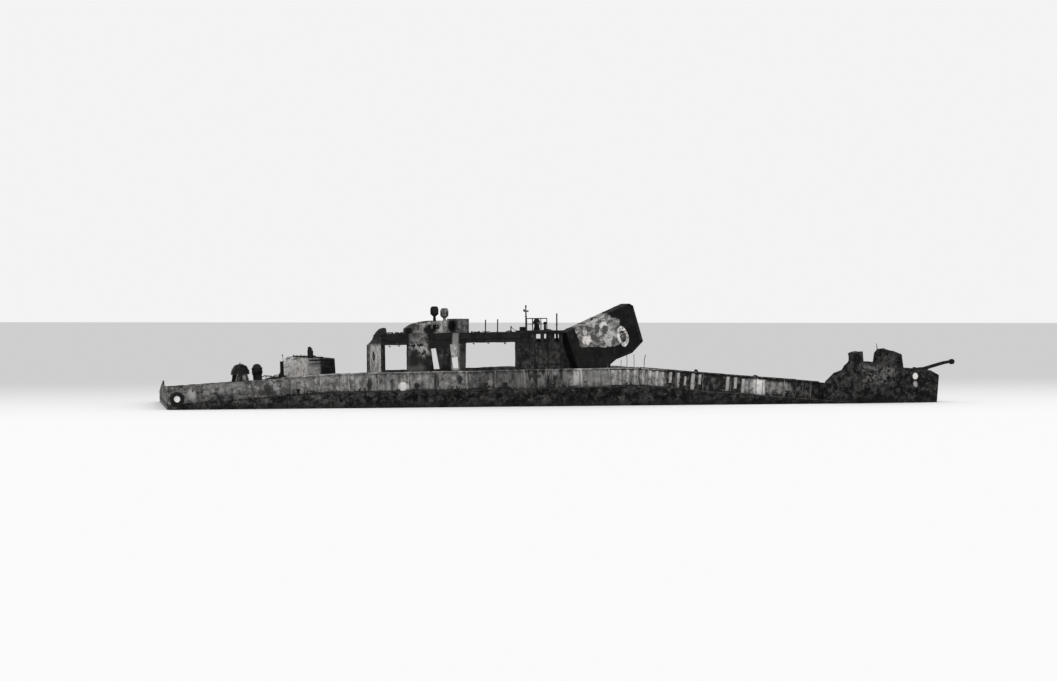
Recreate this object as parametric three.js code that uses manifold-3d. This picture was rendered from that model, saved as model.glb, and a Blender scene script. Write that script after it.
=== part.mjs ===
// A steel tank landing craft, a weathered hulk with a broken back, at its real size.
// Millimetres, +X to the bow, +Y to port, +Z up, z = 0 where the bottom of the hull touches the ground.
// The hull is three bolted pontoon sections. The stern and bow sections have sagged about the joints, so each
// section is a group turned about its joint, and its pieces are placed from that section's own deck line:
// x forward along the deck, z up from the deck.
import * as THREE from 'three';
import { mergeVertices } from 'three/addons/utils/BufferGeometryUtils.js';
import Module from 'manifold-3d';

const wasm = await Module();
wasm.setup();
const DEG = Math.PI / 180;

// ---- driving sizes ----
const HULL_DEPTH = 1800;            // deck to flat bottom, at the side
const HALF_BEAM = 4900;
const STERN_LENGTH = 7000, MID_LENGTH = 14300, BOW_LENGTH = 15200;
const STERN_PITCH = 3.8, MID_PITCH = 0.8, BOW_PITCH = -4.5;   // degrees, bow up is positive
const DECK_AT_JOINT = 700;          // deck height above the water at the aft joint
const FENDER = 75;                  // how far the rubbing strake stands out
const GAP = 1;                      // between touching pieces
const COAMING_H = 870, COAMING_Y = 4080, COAMING_T = 60, COAMING_RAIL = 150, RIB_PITCH = 1380;
const WALL = 60;                    // a wall with its frames
const BOW_KNUCKLE = 9500;           // where the flat bottom ends and the bow rake starts, the forward point of rest

// Height of the water over the ground: the bow knuckle stands on the ground.
const WATER = -(DECK_AT_JOINT + MID_LENGTH * Math.sin(MID_PITCH * DEG) + BOW_KNUCKLE * Math.sin(BOW_PITCH * DEG)
  - HULL_DEPTH * Math.cos(BOW_PITCH * DEG));

// Deckhouse, in the middle section. x along the deck, w up from it.
const HOUSE = { x0: 1950, x1: 8960, yOut: -3960, yIn: -1700, sill: 960, girder: 2150, roof: 2560, top: 2610 };
const PILOT = { x0: 8980, x1: 10600, h: 2590, top: 2660, wall: 70 };
const PORT_CABIN = { x0: 10700, x1: 12900, y0: 1750, y1: 3960, h: 2120, wall: 60 };
const SHELTER = { y0: -3950, y1: -2750, wall: 60 };
const SHELTER_SIDE = [[10790, 2560], [13890, 3872], [14080, 3770], [14562, 2090], [14235, 1620], [13250, 1270], [11650, 3]];   // x, w of its tipped side
const SHELTER_PORT = { x: 13564, w: 2333, r: 150 };

// Stern gear
const CASING = { half: 2300, wall: 60 };
const CASING_SIDE = [[-1830, GAP], [190, GAP], [190, 1500], [-1300, 1600], [-1480, 1530], [-1830, 800]];   // x, w
const HATCH = { x0: -1150, x1: -350, y0: 300, y1: 1300 };
const SHAFT_Y = 2600, PROP_R = 430, PROP_X = -5560, PROP_Z = -1240, RUDDER_X = -6230;

// Ramp
const RAMP = { long: 2250, thick: 150, half: 2350, axisX: 15330, axisZ: -115, down: 21.2 };

const root = new THREE.Group();
const hull = new THREE.Group();
root.add(hull);
const sternGroup = new THREE.Group(), midGroup = new THREE.Group(), bowGroup = new THREE.Group();
hull.add(sternGroup, midGroup, bowGroup);
sternGroup.position.set(STERN_LENGTH, 0, WATER + DECK_AT_JOINT);
sternGroup.rotation.y = -STERN_PITCH * DEG;
midGroup.position.copy(sternGroup.position);
midGroup.rotation.y = -MID_PITCH * DEG;
bowGroup.position.set(STERN_LENGTH + MID_LENGTH * Math.cos(MID_PITCH * DEG), 0,
  WATER + DECK_AT_JOINT + MID_LENGTH * Math.sin(MID_PITCH * DEG));
bowGroup.rotation.y = -BOW_PITCH * DEG;
root.updateMatrixWorld(true);

// ---- materials ----
const MATERIALS = Object.fromEntries(Object.entries({
  hull_dark: [0x1d1d1e, 0.85, 0.2], hull_light: [0x77777a, 0.8, 0.1], deck: [0x2c2c2d, 0.9, 0.1],
  house: [0x232324, 0.85, 0.15], faded: [0x8d8d8f, 0.85, 0.05], gear: [0x161617, 0.7, 0.4], bronze: [0x5a5040, 0.5, 0.8],
}).map(([k, [c, r, m]]) => [k, new THREE.MeshStandardMaterial({ color: c, roughness: r, metalness: m })]));

// ---- solids ----
const solid = (g) => {
  const p = g.index ? g.toNonIndexed() : g;
  const m = mergeVertices(new THREE.BufferGeometry().setAttribute('position', p.getAttribute('position')), 1e-3);
  return new wasm.Manifold(new wasm.Mesh({ numProp: 3, vertProperties: m.attributes.position.array, triVerts: new Uint32Array(m.index.array) }));
};
const join = (...parts) => parts.flat().reduce((a, b) => a.add(b));
const cut = (a, ...tools) => tools.flat().reduce((s, t) => s.subtract(t), a);
const box = (x0, x1, y0, y1, z0, z1) => solid(new THREE.BoxGeometry(x1 - x0, y1 - y0, z1 - z0)
  .translate((x0 + x1) / 2, (y0 + y1) / 2, (z0 + z1) / 2));
const prism = (pts, a, b, basis) => {
  const shape = new THREE.Shape(pts.map(([u, v]) => new THREE.Vector2(u, v)));
  return solid(new THREE.ExtrudeGeometry(shape, { depth: b - a, bevelEnabled: false }).translate(0, 0, a).applyMatrix4(basis));
};
const ALONG_X = new THREE.Matrix4().set(0, 0, 1, 0, 1, 0, 0, 0, 0, 1, 0, 0, 0, 0, 0, 1);    // (y, z) outline
const ALONG_Y = new THREE.Matrix4().set(1, 0, 0, 0, 0, 0, -1, 0, 0, 1, 0, 0, 0, 0, 0, 1);   // (x, z) outline, runs to -y
const prismX = (pts, x0, x1) => prism(pts, x0, x1, ALONG_X);
const prismY = (pts, y0, y1) => prism(pts, -y1, -y0, ALONG_Y);
const prismZ = (pts, z0, z1) => prism(pts, z0, z1, new THREE.Matrix4());
const rod = (r, a, b, sides = 12, r2 = r) => {
  const p = new THREE.Vector3(...a), q = new THREE.Vector3(...b), d = q.clone().sub(p);
  return solid(new THREE.CylinderGeometry(r2, r, d.length(), sides)
    .applyQuaternion(new THREE.Quaternion().setFromUnitVectors(new THREE.Vector3(0, 1, 0), d.clone().normalize()))
    .translate(...p.add(q).multiplyScalar(0.5).toArray()));
};
const lathe = (pts, sides, x = 0, y = 0, z = 0) => solid(new THREE.LatheGeometry(pts.map(([r, h]) => new THREE.Vector2(r, h)), sides)
  .rotateX(Math.PI / 2).translate(x, y, z));
const pipe = (pts, r, sides = 8, steps = 24) => {
  const shape = new THREE.Shape();
  shape.absarc(0, 0, r, 0, Math.PI * 2);
  return solid(new THREE.ExtrudeGeometry(new THREE.Shape(shape.getPoints(Math.round(sides / 1))),
    { steps, bevelEnabled: false, extrudePath: new THREE.CatmullRomCurve3(pts.map((p) => new THREE.Vector3(...p))) }));
};
// A body lofted through stations with equal numbers of points.
const loft = (stations) => {
  const n = stations[0].length, tris = [], v = [];
  stations.forEach((s) => s.forEach((p) => v.push(...p)));
  for (let i = 0; i + 1 < stations.length; i++)
    for (let j = 0; j < n; j++) {
      const a = i * n + j, b = i * n + (j + 1) % n, c = a + n, d = b + n;
      tris.push(a, c, b, b, c, d);
    }
  const flat = (s) => s.map(([, y, z]) => new THREE.Vector2(y, z));
  THREE.ShapeUtils.triangulateShape(flat(stations[0]), []).forEach(([a, b, c]) => tris.push(a, b, c));
  const o = (stations.length - 1) * n;
  THREE.ShapeUtils.triangulateShape(flat(stations.at(-1)), []).forEach(([a, b, c]) => tris.push(o + a, o + c, o + b));
  let m = new wasm.Manifold(new wasm.Mesh({ numProp: 3, vertProperties: new Float32Array(v), triVerts: new Uint32Array(tris) }));
  if (m.volume() < 0) {
    for (let i = 0; i < tris.length; i += 3) [tris[i + 1], tris[i + 2]] = [tris[i + 2], tris[i + 1]];
    m = new wasm.Manifold(new wasm.Mesh({ numProp: 3, vertProperties: new Float32Array(v), triVerts: new Uint32Array(tris) }));
  }
  return m;
};
const mirrorY = (s) => s.mirror([0, 1, 0]);
const add = (group, name, s, material) => {
  const m = s.getMesh(), n = m.numProp, v = new Float32Array(m.numVert * 3);
  for (let i = 0; i < m.numVert; i++) v.set(m.vertProperties.subarray(i * n, i * n + 3), i * 3);
  const g = new THREE.BufferGeometry().setAttribute('position', new THREE.BufferAttribute(v, 3))
    .setIndex(new THREE.BufferAttribute(new Uint32Array(m.triVerts), 1));
  g.computeVertexNormals();
  const mesh = new THREE.Mesh(g, MATERIALS[material]);
  mesh.name = name;
  group.add(mesh);
  return mesh;
};
const pair = (group, name, starboard, material) => {
  add(group, name + '_starboard', starboard, material);
  add(group, name + '_port', mirrorY(starboard), material);
};

// ---- hull sections ----
// x: place along the deck, half: half beam, d: depth, c: bilge chamfer, k: lean of the end face (dx per unit of depth)
const SECTIONS = {
  stern: [
    { x: -7540, half: 4570, d: 560, c: 120, k: 0 },
    { x: -7450, half: 4810, d: 570, c: 140, k: 0 },
    { x: -7240, half: 4900, d: 580, c: 160, k: 0 },
    { x: -5300, half: 4900, d: 690, c: 180, k: 0 },
    { x: -2500, half: 4900, d: HULL_DEPTH, c: 300, k: 0 },
    { x: -GAP, half: 4900, d: HULL_DEPTH, c: 300, k: -Math.tan((STERN_PITCH - MID_PITCH) / 2 * DEG) },
  ],
  mid: [
    { x: GAP, half: 4900, d: HULL_DEPTH, c: 300, k: Math.tan((STERN_PITCH - MID_PITCH) / 2 * DEG) },
    { x: MID_LENGTH - GAP, half: 4900, d: HULL_DEPTH, c: 300, k: -Math.tan((MID_PITCH - BOW_PITCH) / 2 * DEG) },
  ],
  bow: [
    { x: GAP, half: 4900, d: HULL_DEPTH, c: 300, k: Math.tan((MID_PITCH - BOW_PITCH) / 2 * DEG) },
    { x: BOW_KNUCKLE, half: 4900, d: HULL_DEPTH, c: 300, k: 0 },
    { x: 11500, half: 4870, d: 1430, c: 280, k: 0 },
    { x: 13300, half: 4750, d: 930, c: 220, k: 0 },
    { x: BOW_LENGTH, half: 4500, d: 410, c: 120, k: 0 },
  ],
};
// the transom is pushed askew: its port corner stands further forward than its starboard one
const TRANSOM_SKEW = 0.0816;
const askew = (x, y) => x + TRANSOM_SKEW * y * Math.min(1, Math.max(0, (-5300 - x) / 1940));
const station = ({ x, half: b, d, c, k }) => [
  [-b, 0], [-b - FENDER, -40], [-b - FENDER, -200], [-b, -240], [-b, -d + c], [-b + c, -d],
  [b - c, -d], [b, -d + c], [b, -240], [b + FENDER, -200], [b + FENDER, -40], [b, 0],
].map(([y, z]) => [askew(x, y) - k * z, y, z]);
add(sternGroup, 'hull_stern_section', loft(SECTIONS.stern.map(station)), 'hull_dark');
add(midGroup, 'hull_mid_section', loft(SECTIONS.mid.map(station)), 'hull_dark');
add(bowGroup, 'hull_bow_section', loft(SECTIONS.bow.map(station)), 'hull_dark');

// ---- coamings: a plate with a flanged top and brackets on the outside ----
const coaming = (x0, x1, h0 = COAMING_H, h1 = COAMING_H) => {
  const plate = prismY([[x0, GAP], [x1, GAP], [x1, h1], [x0, h0]], -COAMING_Y, -COAMING_Y + COAMING_T);
  const rail = prismY([[x0, h0 - 60], [x1, h1 - 60], [x1, h1], [x0, h0]], -COAMING_Y - COAMING_RAIL + COAMING_T, -COAMING_Y + COAMING_T);
  const ribs = [];
  for (let x = x0 + RIB_PITCH / 4; x < x1 - 60; x += RIB_PITCH) {
    const h = h0 + (h1 - h0) * (x - x0) / (x1 - x0);
    ribs.push(prismX([[-COAMING_Y + 1, GAP], [-COAMING_Y + 1, h - 30], [-COAMING_Y - 90, h - 30], [-COAMING_Y - 260, GAP]], x, x + 50));
  }
  return join(plate, rail, ribs);
};
add(sternGroup, 'coaming_stern_starboard', coaming(-2640, -8), 'hull_light');
add(midGroup, 'coaming_mid_starboard', coaming(8, MID_LENGTH - 8), 'hull_light');
add(bowGroup, 'coaming_bow_starboard', coaming(8, 9080), 'hull_light');
// the port side is crushed lower towards the stern
add(sternGroup, 'coaming_stern_port', mirrorY(coaming(-2640, -8, 540, 560)), 'hull_light');
add(midGroup, 'coaming_mid_port', mirrorY(coaming(8, 9000, 570, 800).add(coaming(8999, MID_LENGTH - 8, 800, COAMING_H))), 'hull_light');
add(bowGroup, 'coaming_bow_port', mirrorY(coaming(8, 9080)), 'hull_light');

// ---- stern bulwark, one plate bent round the stern, with a fairlead port in the middle ----
const plan = (rows, inset) => rows.map(([x, y]) => [x, y - inset]);
const bothSides = (rows) => [...rows.map(([x, y]) => [askew(x, -y), -y]), ...rows.slice().reverse().map(([x, y]) => [askew(x, y), y])];
const bulwarkOuter = bothSides([[-2700, 4890], [-5300, 4890], [-7240, 4890], [-7445, 4800], [-7530, 4560]]);
const bulwarkInner = bothSides([[-2700, 4830], [-5300, 4830], [-7220, 4830], [-7400, 4755], [-7470, 4540]]);
const ring = prismZ([...bulwarkOuter, ...bulwarkInner.slice().reverse()], GAP, 830);
const returns = [-1, 1].map((s) => box(-2700, -2650, s > 0 ? 4025 : -4889, s > 0 ? 4889 : -4025, GAP, 830));
const crushed = prismX([[600, 832], [4300, 300], [5200, 300], [5200, 1000], [600, 1000]], -8200, -6900)
  .add(prismX([[4000, 490], [5200, 490], [5200, 1000], [4000, 1000]], -7000, -2600));
const FAIR = { x: -7480, r: 185, z: 272 };
add(sternGroup, 'stern_bulwark', join(cut(join(ring, returns), crushed, rod(FAIR.r + 5, [FAIR.x, -5200, FAIR.z], [FAIR.x, -4600, FAIR.z], 20)),
  rod(45, [askew(-7502, -1200), -1200, 500], [askew(-7502, -1200), -1200, 1010], 8)), 'hull_light');
add(sternGroup, 'stern_fairlead', cut(join(rod(FAIR.r, [FAIR.x, -4955, FAIR.z], [FAIR.x, -4790, FAIR.z], 24), rod(FAIR.r + 75, [FAIR.x, -4955, FAIR.z], [FAIR.x, -4893, FAIR.z], 24)),
  rod(FAIR.r - 45, [FAIR.x, -5100, FAIR.z], [FAIR.x, -4600, FAIR.z], 20)), 'gear');

// ---- stern winch and capstan ----
const WINCH = { x: -3890, z: 620 };
const wx = (x) => x + WINCH.x;
add(sternGroup, 'winch_frame', join(
  box(wx(-550), wx(438), -700, 700, GAP, 120),
  [-1, 1].map((s) => prismY([[wx(-450), 100], [wx(430), 100], [wx(250), 1020], [wx(-250), 1020]], s > 0 ? 560 : -640, s > 0 ? 640 : -560)),
  box(wx(-545), wx(-360), -640, 640, 100, 420),
  prismY([[wx(-380), 975], [wx(400), 975], [wx(390), 1150], [wx(270), 1380], [wx(40), 1470], [wx(-200), 1400], [wx(-350), 1170]], -330, 330),
  [-1, 1].map((s) => box(wx(-150), wx(100), s > 0 ? 300 : -600, s > 0 ? 600 : -300, 970, 1015))), 'gear');
add(sternGroup, 'winch_drum', join(
  rod(45, [WINCH.x, -545, WINCH.z], [WINCH.x, 545, WINCH.z], 12), rod(170, [WINCH.x, -380, WINCH.z], [WINCH.x, 380, WINCH.z], 16),
  rod(330, [WINCH.x, -440, WINCH.z], [WINCH.x, -380, WINCH.z], 20), rod(330, [WINCH.x, 380, WINCH.z], [WINCH.x, 440, WINCH.z], 20)), 'gear');
const CAPSTAN_X = -3080;
add(sternGroup, 'capstan_base', lathe([[0, GAP], [360, GAP], [360, 160], [270, 220], [0, 220]], 20, CAPSTAN_X, 0), 'gear');
add(sternGroup, 'capstan_head', lathe([[0, 228], [260, 228], [190, 420], [170, 860], [235, 1060], [240, 1200], [150, 1370], [60, 1420], [0, 1420]], 16, CAPSTAN_X, 0), 'gear');

// ---- engine casing with a sloped after side, hatch lid and exhaust ----
const insetOutline = (pts, t) => pts.map((p, i) => {   // moves each side of a convex outline inwards by t
  const n = pts.length, a = pts[(i + n - 1) % n], c = pts[(i + 1) % n];
  const area = pts.reduce((k, q, m) => k + q[0] * pts[(m + 1) % n][1] - pts[(m + 1) % n][0] * q[1], 0);
  const unit = (u, v) => { const dx = v[0] - u[0], dy = v[1] - u[1], l = Math.hypot(dx, dy) * Math.sign(area); return [-dy / l, dx / l]; };
  const [m, k] = [unit(a, p), unit(p, c)], d = 1 + m[0] * k[0] + m[1] * k[1];
  return [p[0] + t * (m[0] + k[0]) / d, p[1] + t * (m[1] + k[1]) / d];
});
const casingHollow = insetOutline(CASING_SIDE, CASING.wall).map(([x, z]) => [x, z < 100 ? -50 : z]);
const hatchCut = [HATCH.x0 + 50, HATCH.x1 - 50, HATCH.y0 + 50, HATCH.y1 - 50];
const casingTop = (x) => 1600 - (x + 1300) * 100 / 1490;
// the aft corners of the casing are cut off at a slant
const slant = (dx, dy) => [-1, 1].map((s) => prismZ([[-1830 + dx, 900 + dy], [-1050 + dx, 2300 + dy], [-995 + dx, 2400 + dy], [-2400, 2400 + dy], [-2400, 900 + dy]].map(([x, y]) => [x, s * y]), -80, 1700));
add(sternGroup, 'engine_casing', join(cut(prismY(CASING_SIDE, -CASING.half, CASING.half),
  cut(prismY(casingHollow, -CASING.half + CASING.wall, CASING.half - CASING.wall), ...slant(52, -29)), ...slant(0, 0), box(...hatchCut, 1300, 1700)), rod(24, [-1655, 880, 1040], [-1700, 880, 1770], 8),
  rod(80, [-857, -1900, 1500], [-857, -1900, 1960], 12), rod(135, [-857, -1900, 1940], [-900, -1900, 2090], 14, 60)), 'house');
const lidUnder = (h) => [[HATCH.x0, casingTop(HATCH.x0) + h], [HATCH.x1, casingTop(HATCH.x1) + h]];
add(sternGroup, 'engine_hatch_lid', join(prismY([...lidUnder(6), ...lidUnder(50).reverse()], HATCH.y0, HATCH.y1),
  prismY([[HATCH.x0 + 65, casingTop(HATCH.x0) - 50], [HATCH.x1 - 65, casingTop(HATCH.x1) - 50], [HATCH.x1 - 65, casingTop(HATCH.x1) + 12], [HATCH.x0 + 65, casingTop(HATCH.x0) + 12]], HATCH.y0 + 65, HATCH.y1 - 65)), 'gear');
add(sternGroup, 'engine_block', box(-1500, -150, -700, 700, 40, 900), 'gear');

// ---- skegs, shafts, propellers and rudders under the raked stern ----
const toStern = (X, Z) => sternGroup.worldToLocal(new THREE.Vector3(X, 0, Z));
const heelAft = toStern(560, 0), heelFore = toStern(1750, 0);
const hullBottom = loft(SECTIONS.stern.map(station));
[['starboard', -SHAFT_Y], ['centre', 0], ['port', SHAFT_Y]].forEach(([side, y]) => {
  const skeg = cut(prismY([[-2450, -1700], [-3150, -1795 - 60], [heelFore.x, heelFore.z], [heelAft.x, heelAft.z], [heelAft.x + 6, heelAft.z + 110],
    [-5230, heelFore.z + 125], [-5060, -600], [-2500, -1600]], y - 60, y + 60), hullBottom.translate([0, 0, -GAP]), hullBottom);
  const boss = rod(95, [-3600, y, PROP_Z], [-5330, y, PROP_Z], 14);
  const drilled = cut(join(skeg, boss), rod(52, [-4700, y, PROP_Z], [-5400, y, PROP_Z], 14), hullBottom.translate([0, 0, -GAP]));
  add(sternGroup, 'skeg_' + side, join(drilled), 'hull_dark');
  // three blades on a hub with its shaft end
  const blades = [0, 120, 240].map((a) => solid(new THREE.BoxGeometry(34, 250, PROP_R - 60)
    .translate(0, 0, 60 + (PROP_R - 60) / 2 - 15).rotateZ(0).applyMatrix4(new THREE.Matrix4().makeRotationZ(0.55)).rotateX(a * DEG).translate(PROP_X, y, PROP_Z)));
  const hub = rod(85, [PROP_X - 130, y, PROP_Z], [PROP_X + 130, y, PROP_Z], 16);
  add(sternGroup, 'propeller_' + side, join(hub, rod(45, [PROP_X + 100, y, PROP_Z], [-4760, y, PROP_Z], 14), rod(84, [PROP_X - 130, y, PROP_Z], [PROP_X - 220, y, PROP_Z], 16, 20), blades), 'bronze');
  // rudder blade on its stock, with the stock held by the hull
  add(sternGroup, 'rudder_' + side, join(
    prismZ([[RUDDER_X + 190, y], [RUDDER_X + 60, y + 45], [RUDDER_X - 430, y + 14], [RUDDER_X - 430, y - 14], [RUDDER_X + 60, y - 45]], -1690, -760),
    rod(40, [RUDDER_X, y, -770], [RUDDER_X, y, -655], 12)), 'hull_dark');
});

// ---- bow bulwarks: raised side plates over the tapered bow ----
// top edge of the plate: x along the deck, w up from it
const BOW_TOP = [[9100, 880], [9504, 1319], [9941, 1513], [10244, 1853], [10399, 2330], [10564, 2440], [10913, 2465], [10990, 1995], [11505, 2020], [11530, 2430], [11685, 2640],
  [11961, 2686], [12389, 2620], [12708, 2575], [13010, 2460], [13160, 1860], [13300, 1830]];
const BOW_TOP_PORT = [[9100, 830], [10200, 790], [10300, 640], [11150, 620], [11300, 800], [12600, 760], [12750, 420], [13060, 380], [13200, 760], [13300, 780]];   // torn down
const bowHalf = (x) => { // half beam of the bow section at x
  const t = SECTIONS.bow, i = Math.max(1, t.findIndex((s) => s.x >= x)), a = t[i - 1], b = t[i];
  return a.half + (b.half - a.half) * (x - a.x) / (b.x - a.x);
};
const band = (inset, width, x0, x1) => {
  const xs = [x0, ...SECTIONS.bow.map((s) => s.x).filter((x) => x > x0 && x < x1), x1];
  return [...xs.map((x) => [x, -bowHalf(x) + inset]), ...xs.slice().reverse().map((x) => [x, -bowHalf(x) + inset + width])];
};
const bulwark = (top) => join(prismY([[9100, GAP], [13300, GAP], ...top.slice().reverse()], -5000, -3000).intersect(prismZ(band(8, 70, 9100, 13300), -10, 3000)),
  box(9100, 9160, -4880, -4085 + 65, GAP, 820));
add(bowGroup, 'bow_bulwark_starboard', bulwark(BOW_TOP), 'hull_dark');
add(bowGroup, 'bow_bulwark_port', mirrorY(bulwark(BOW_TOP_PORT)), 'hull_dark');
// wing boxes each side of the ramp, closed tanks
const END = BOW_LENGTH - 10;
const wing = (top) => prismY([[13310, GAP], [END, GAP], ...top], -4900, -2350).intersect(
  prismZ([[13310, -bowHalf(13310) + 8], [END, -bowHalf(END) + 8], [END, -2360], [13310, -2360]], -10, 3000));
add(bowGroup, 'bow_wing_starboard', wing([[END, 1590], [14620, 1830], [13310, 1825]]), 'hull_dark');
add(bowGroup, 'bow_wing_port', mirrorY(wing([[END, 1420], [14620, 1500], [13900, 1380], [13310, 900]])), 'hull_dark');
// hoist arms over the ramp, with a sheave at the end
add(bowGroup, 'ramp_hoist_arm', join(pipe([[14760, -3050, 1850], [15013, -3050, 1880], [15469, -3050, 2050], [16103, -3050, 2270], [16560, -3050, 2375]], 62, 8, 12),
  prismY([[14500, 1833], [14622, 1833], [14905, 1716], [15150, 1613], [15150, 1750], [14900, 1890], [14500, 1930]], -3170, -2930), rod(125, [16520, -3110, 2350], [16520, -2990, 2350], 16)), 'gear');

// ---- ramp and its hinge ----
const lugY = [-2150, -1250, -350, 350, 1250, 2150];
add(bowGroup, 'ramp_hinge', join(rod(34, [RAMP.axisX, -2220, RAMP.axisZ], [RAMP.axisX, 2220, RAMP.axisZ], 12),
  lugY.map((y) => join(rod(70, [RAMP.axisX, y - 40, RAMP.axisZ], [RAMP.axisX, y + 40, RAMP.axisZ], 14),
    box(BOW_LENGTH + 1, RAMP.axisX, y - 40, y + 40, RAMP.axisZ - 70, RAMP.axisZ + 50)))), 'gear');
const rampGroup = new THREE.Group();
bowGroup.add(rampGroup);
rampGroup.position.set(RAMP.axisX, 0, RAMP.axisZ);
rampGroup.rotation.y = (RAMP.down + BOW_PITCH) * DEG;
const rampPlate = box(95, RAMP.long, -RAMP.half, RAMP.half, RAMP.thick * -1 + 98, 98);
const rampEnd = prismY([[RAMP.long - 1, -52], [RAMP.long + 130, 60], [RAMP.long + 130, 98], [RAMP.long - 1, 98]], -RAMP.half, RAMP.half);
const knuckles = [-1700, -800, 0, 800, 1700].map((y) => join(rod(70, [0, y - 240, 0], [0, y + 240, 0], 14), box(0, 120, y - 240, y + 240, -40, 66)));
add(rampGroup, 'bow_ramp', cut(join(rampPlate, rampEnd, knuckles), rod(38, [0, -2400, 0], [0, 2400, 0], 12)), 'deck');

// ---- starboard deckhouse: plates on frames, much of the plating gone ----
const panelXZ = (outline, holes, y0, y1) => cut(prismY(outline, y0, y1), holes.map((h) => prismY(h, y0 - 50, y1 + 50)));
const rect = (x0, x1, z0, z1) => [[x0, z0], [x1, z0], [x1, z1], [x0, z1]];
const H = HOUSE;
add(midGroup, 'deckhouse_outer_wall', panelXZ(rect(H.x0, H.x1, GAP, H.girder), [
  rect(2060, 3150, 940, 2090), [[4290, 1900], [4420, 960], [4700, 950], [4530, 1920]], [[5180, 2100], [5330, 1000], [5600, 980], [5500, 2100]],
  rect(5930, 8310, 1000, H.girder + 60),
], H.yOut, H.yOut + WALL), 'house');
add(midGroup, 'deckhouse_inner_wall', panelXZ(rect(H.x0 + WALL + GAP, H.x1, GAP, H.girder), [
  rect(2100, 4250, 900, H.girder + 60), rect(4420, 6380, 900, H.girder + 60), rect(6480, H.x1 + 10, 900, H.girder + 60), rect(6900, 7600, 60, 1000),
], H.yIn - WALL, H.yIn), 'house');
add(midGroup, 'deckhouse_aft_bulkhead', cut(prismX([[H.yOut + WALL + GAP, GAP], [-700, GAP], [-700, 2060], [-1400, 2190], [-1950, 2330], [-2350, H.roof - 8], [H.yOut + WALL + GAP, H.roof - 8]], H.x0, H.x0 + WALL),
  rod(150, [H.x0 - 50, -2330, 1560], [H.x0 + 120, -2330, 1560], 12)), 'faded');
add(midGroup, 'deckhouse_roof', cut(join(
  prismZ([[H.x0, H.yOut - 30], [H.x1, H.yOut - 30], [H.x1, H.yIn + 30], [H.x0 + 900, H.yIn + 30], [H.x0, -2450]], H.roof, H.top),
  box(H.x0, H.x1, H.yOut, H.yOut + WALL, H.girder + GAP, H.roof + 5), box(H.x0 + 900, H.x1, H.yIn - WALL, H.yIn, H.girder + GAP, H.roof + 5),
  [3700, 5300, 6900, 8200].map((x) => box(x, x + 70, H.yOut + 10, H.yIn - 10, H.roof - 130, H.roof + 5)),
  prismX([[-3960, H.top - 10], [-3965, 2800], [-3820, 2920], [-3560, 2960], [-3280, 2900], [-2880, 2760], [-2460, H.top - 10]], H.x0 + 15, H.x0 + 270),
  [[6900, 3200], [7480, 3220], [8120, 2900]].map(([x, t]) => rod(28, [x, -3900, H.top - 10], [x + 12, -3900, t], 8)))), 'house');

// ---- pilothouse with windows, and the open bridge over it ----
const P = PILOT, inset = P.wall;
const pilotWindows = [
  ...[9320, 9705, 10210].map((x) => box(x, x + 230, H.yOut - 50, H.yOut + 200, 2130, 2500)),
  box(9920, 10250, H.yIn - 200, H.yIn + 50, 2080, 2520), box(10310, 10530, H.yIn - 200, H.yIn + 50, 2080, 2520),
  ...[-3700, -3090, -2480].map((y) => box(P.x1 - 200, P.x1 + 60, y, y + 520, 2000, 2480)),
  box(P.x0 - 60, P.x0 + 200, -3230, -2510, 130, 2000),
];
add(midGroup, 'pilothouse', cut(box(P.x0, P.x1, H.yOut, H.yIn, GAP, P.h), box(P.x0 + inset, P.x1 - inset, H.yOut + inset, H.yIn - inset, 60, P.h + 60), pilotWindows), 'house');
add(midGroup, 'pilothouse_roof', join(box(P.x0 - 10, P.x1 + 60, H.yOut - 60, H.yIn + 60, P.h + GAP, P.top),
  rod(45, [9030, -3300, P.top - 10], [9022, -3300, 3860], 10, 26), rod(18, [9024, -3600, 3560], [9024, -3000, 3560], 8),
  rod(34, [10610, -3000, P.top - 10], [10620, -3000, 3450], 8)), 'house');
add(midGroup, 'pilothouse_door', join(box(P.x0 - 52, P.x0 - 8, -3260, -2470, 100, 2030), rod(22, [P.x0 - 30, -3270, 300], [P.x0 - 30, -3270, 420], 10), rod(22, [P.x0 - 30, -3270, 1700], [P.x0 - 30, -3270, 1820], 10)), 'house');
add(midGroup, 'steering_stand', join(box(9900, 10150, -3050, -2650, 61, 900), rod(38, [9910, -2850, 1150], [9760, -2850, 1150], 10), box(9890, 10110, -2950, -2750, 890, 1240), cut(rod(330, [9790, -2850, 1150], [9755, -2850, 1150], 20), rod(285, [9820, -2850, 1150], [9720, -2850, 1150], 20)), box(9760, 9785, -3170, -2530, 1130, 1170), box(9760, 9785, -2870, -2830, 830, 1470)), 'gear');
const railPosts = [[9310, -3400], [10010, -3400], [10010, -2400], [9310, -2400]];
add(midGroup, 'bridge_rail', join(railPosts.map(([x, y]) => rod(24, [x, y, P.top + GAP], [x, y, 3230], 8)),
  railPosts.map(([x, y], i) => { const [u, v] = railPosts[(i + 1) % 4]; return rod(20, [x, y, 3222], [u, v, 3222], 8); }),
  railPosts.map(([x, y], i) => { const [u, v] = railPosts[(i + 1) % 4]; return rod(14, [x, y, 2960], [u, v, 2960], 8); })), 'gear');
add(midGroup, 'binnacle', join(lathe([[0, P.top + GAP], [170, P.top + GAP], [130, 2800], [110, 2980], [0, 2980]], 14, 9661, -2900), lathe([[0, 2970], [150, 2970], [160, 3080], [90, 3230], [0, 3230]], 14, 9661, -2900)), 'gear');

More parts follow.
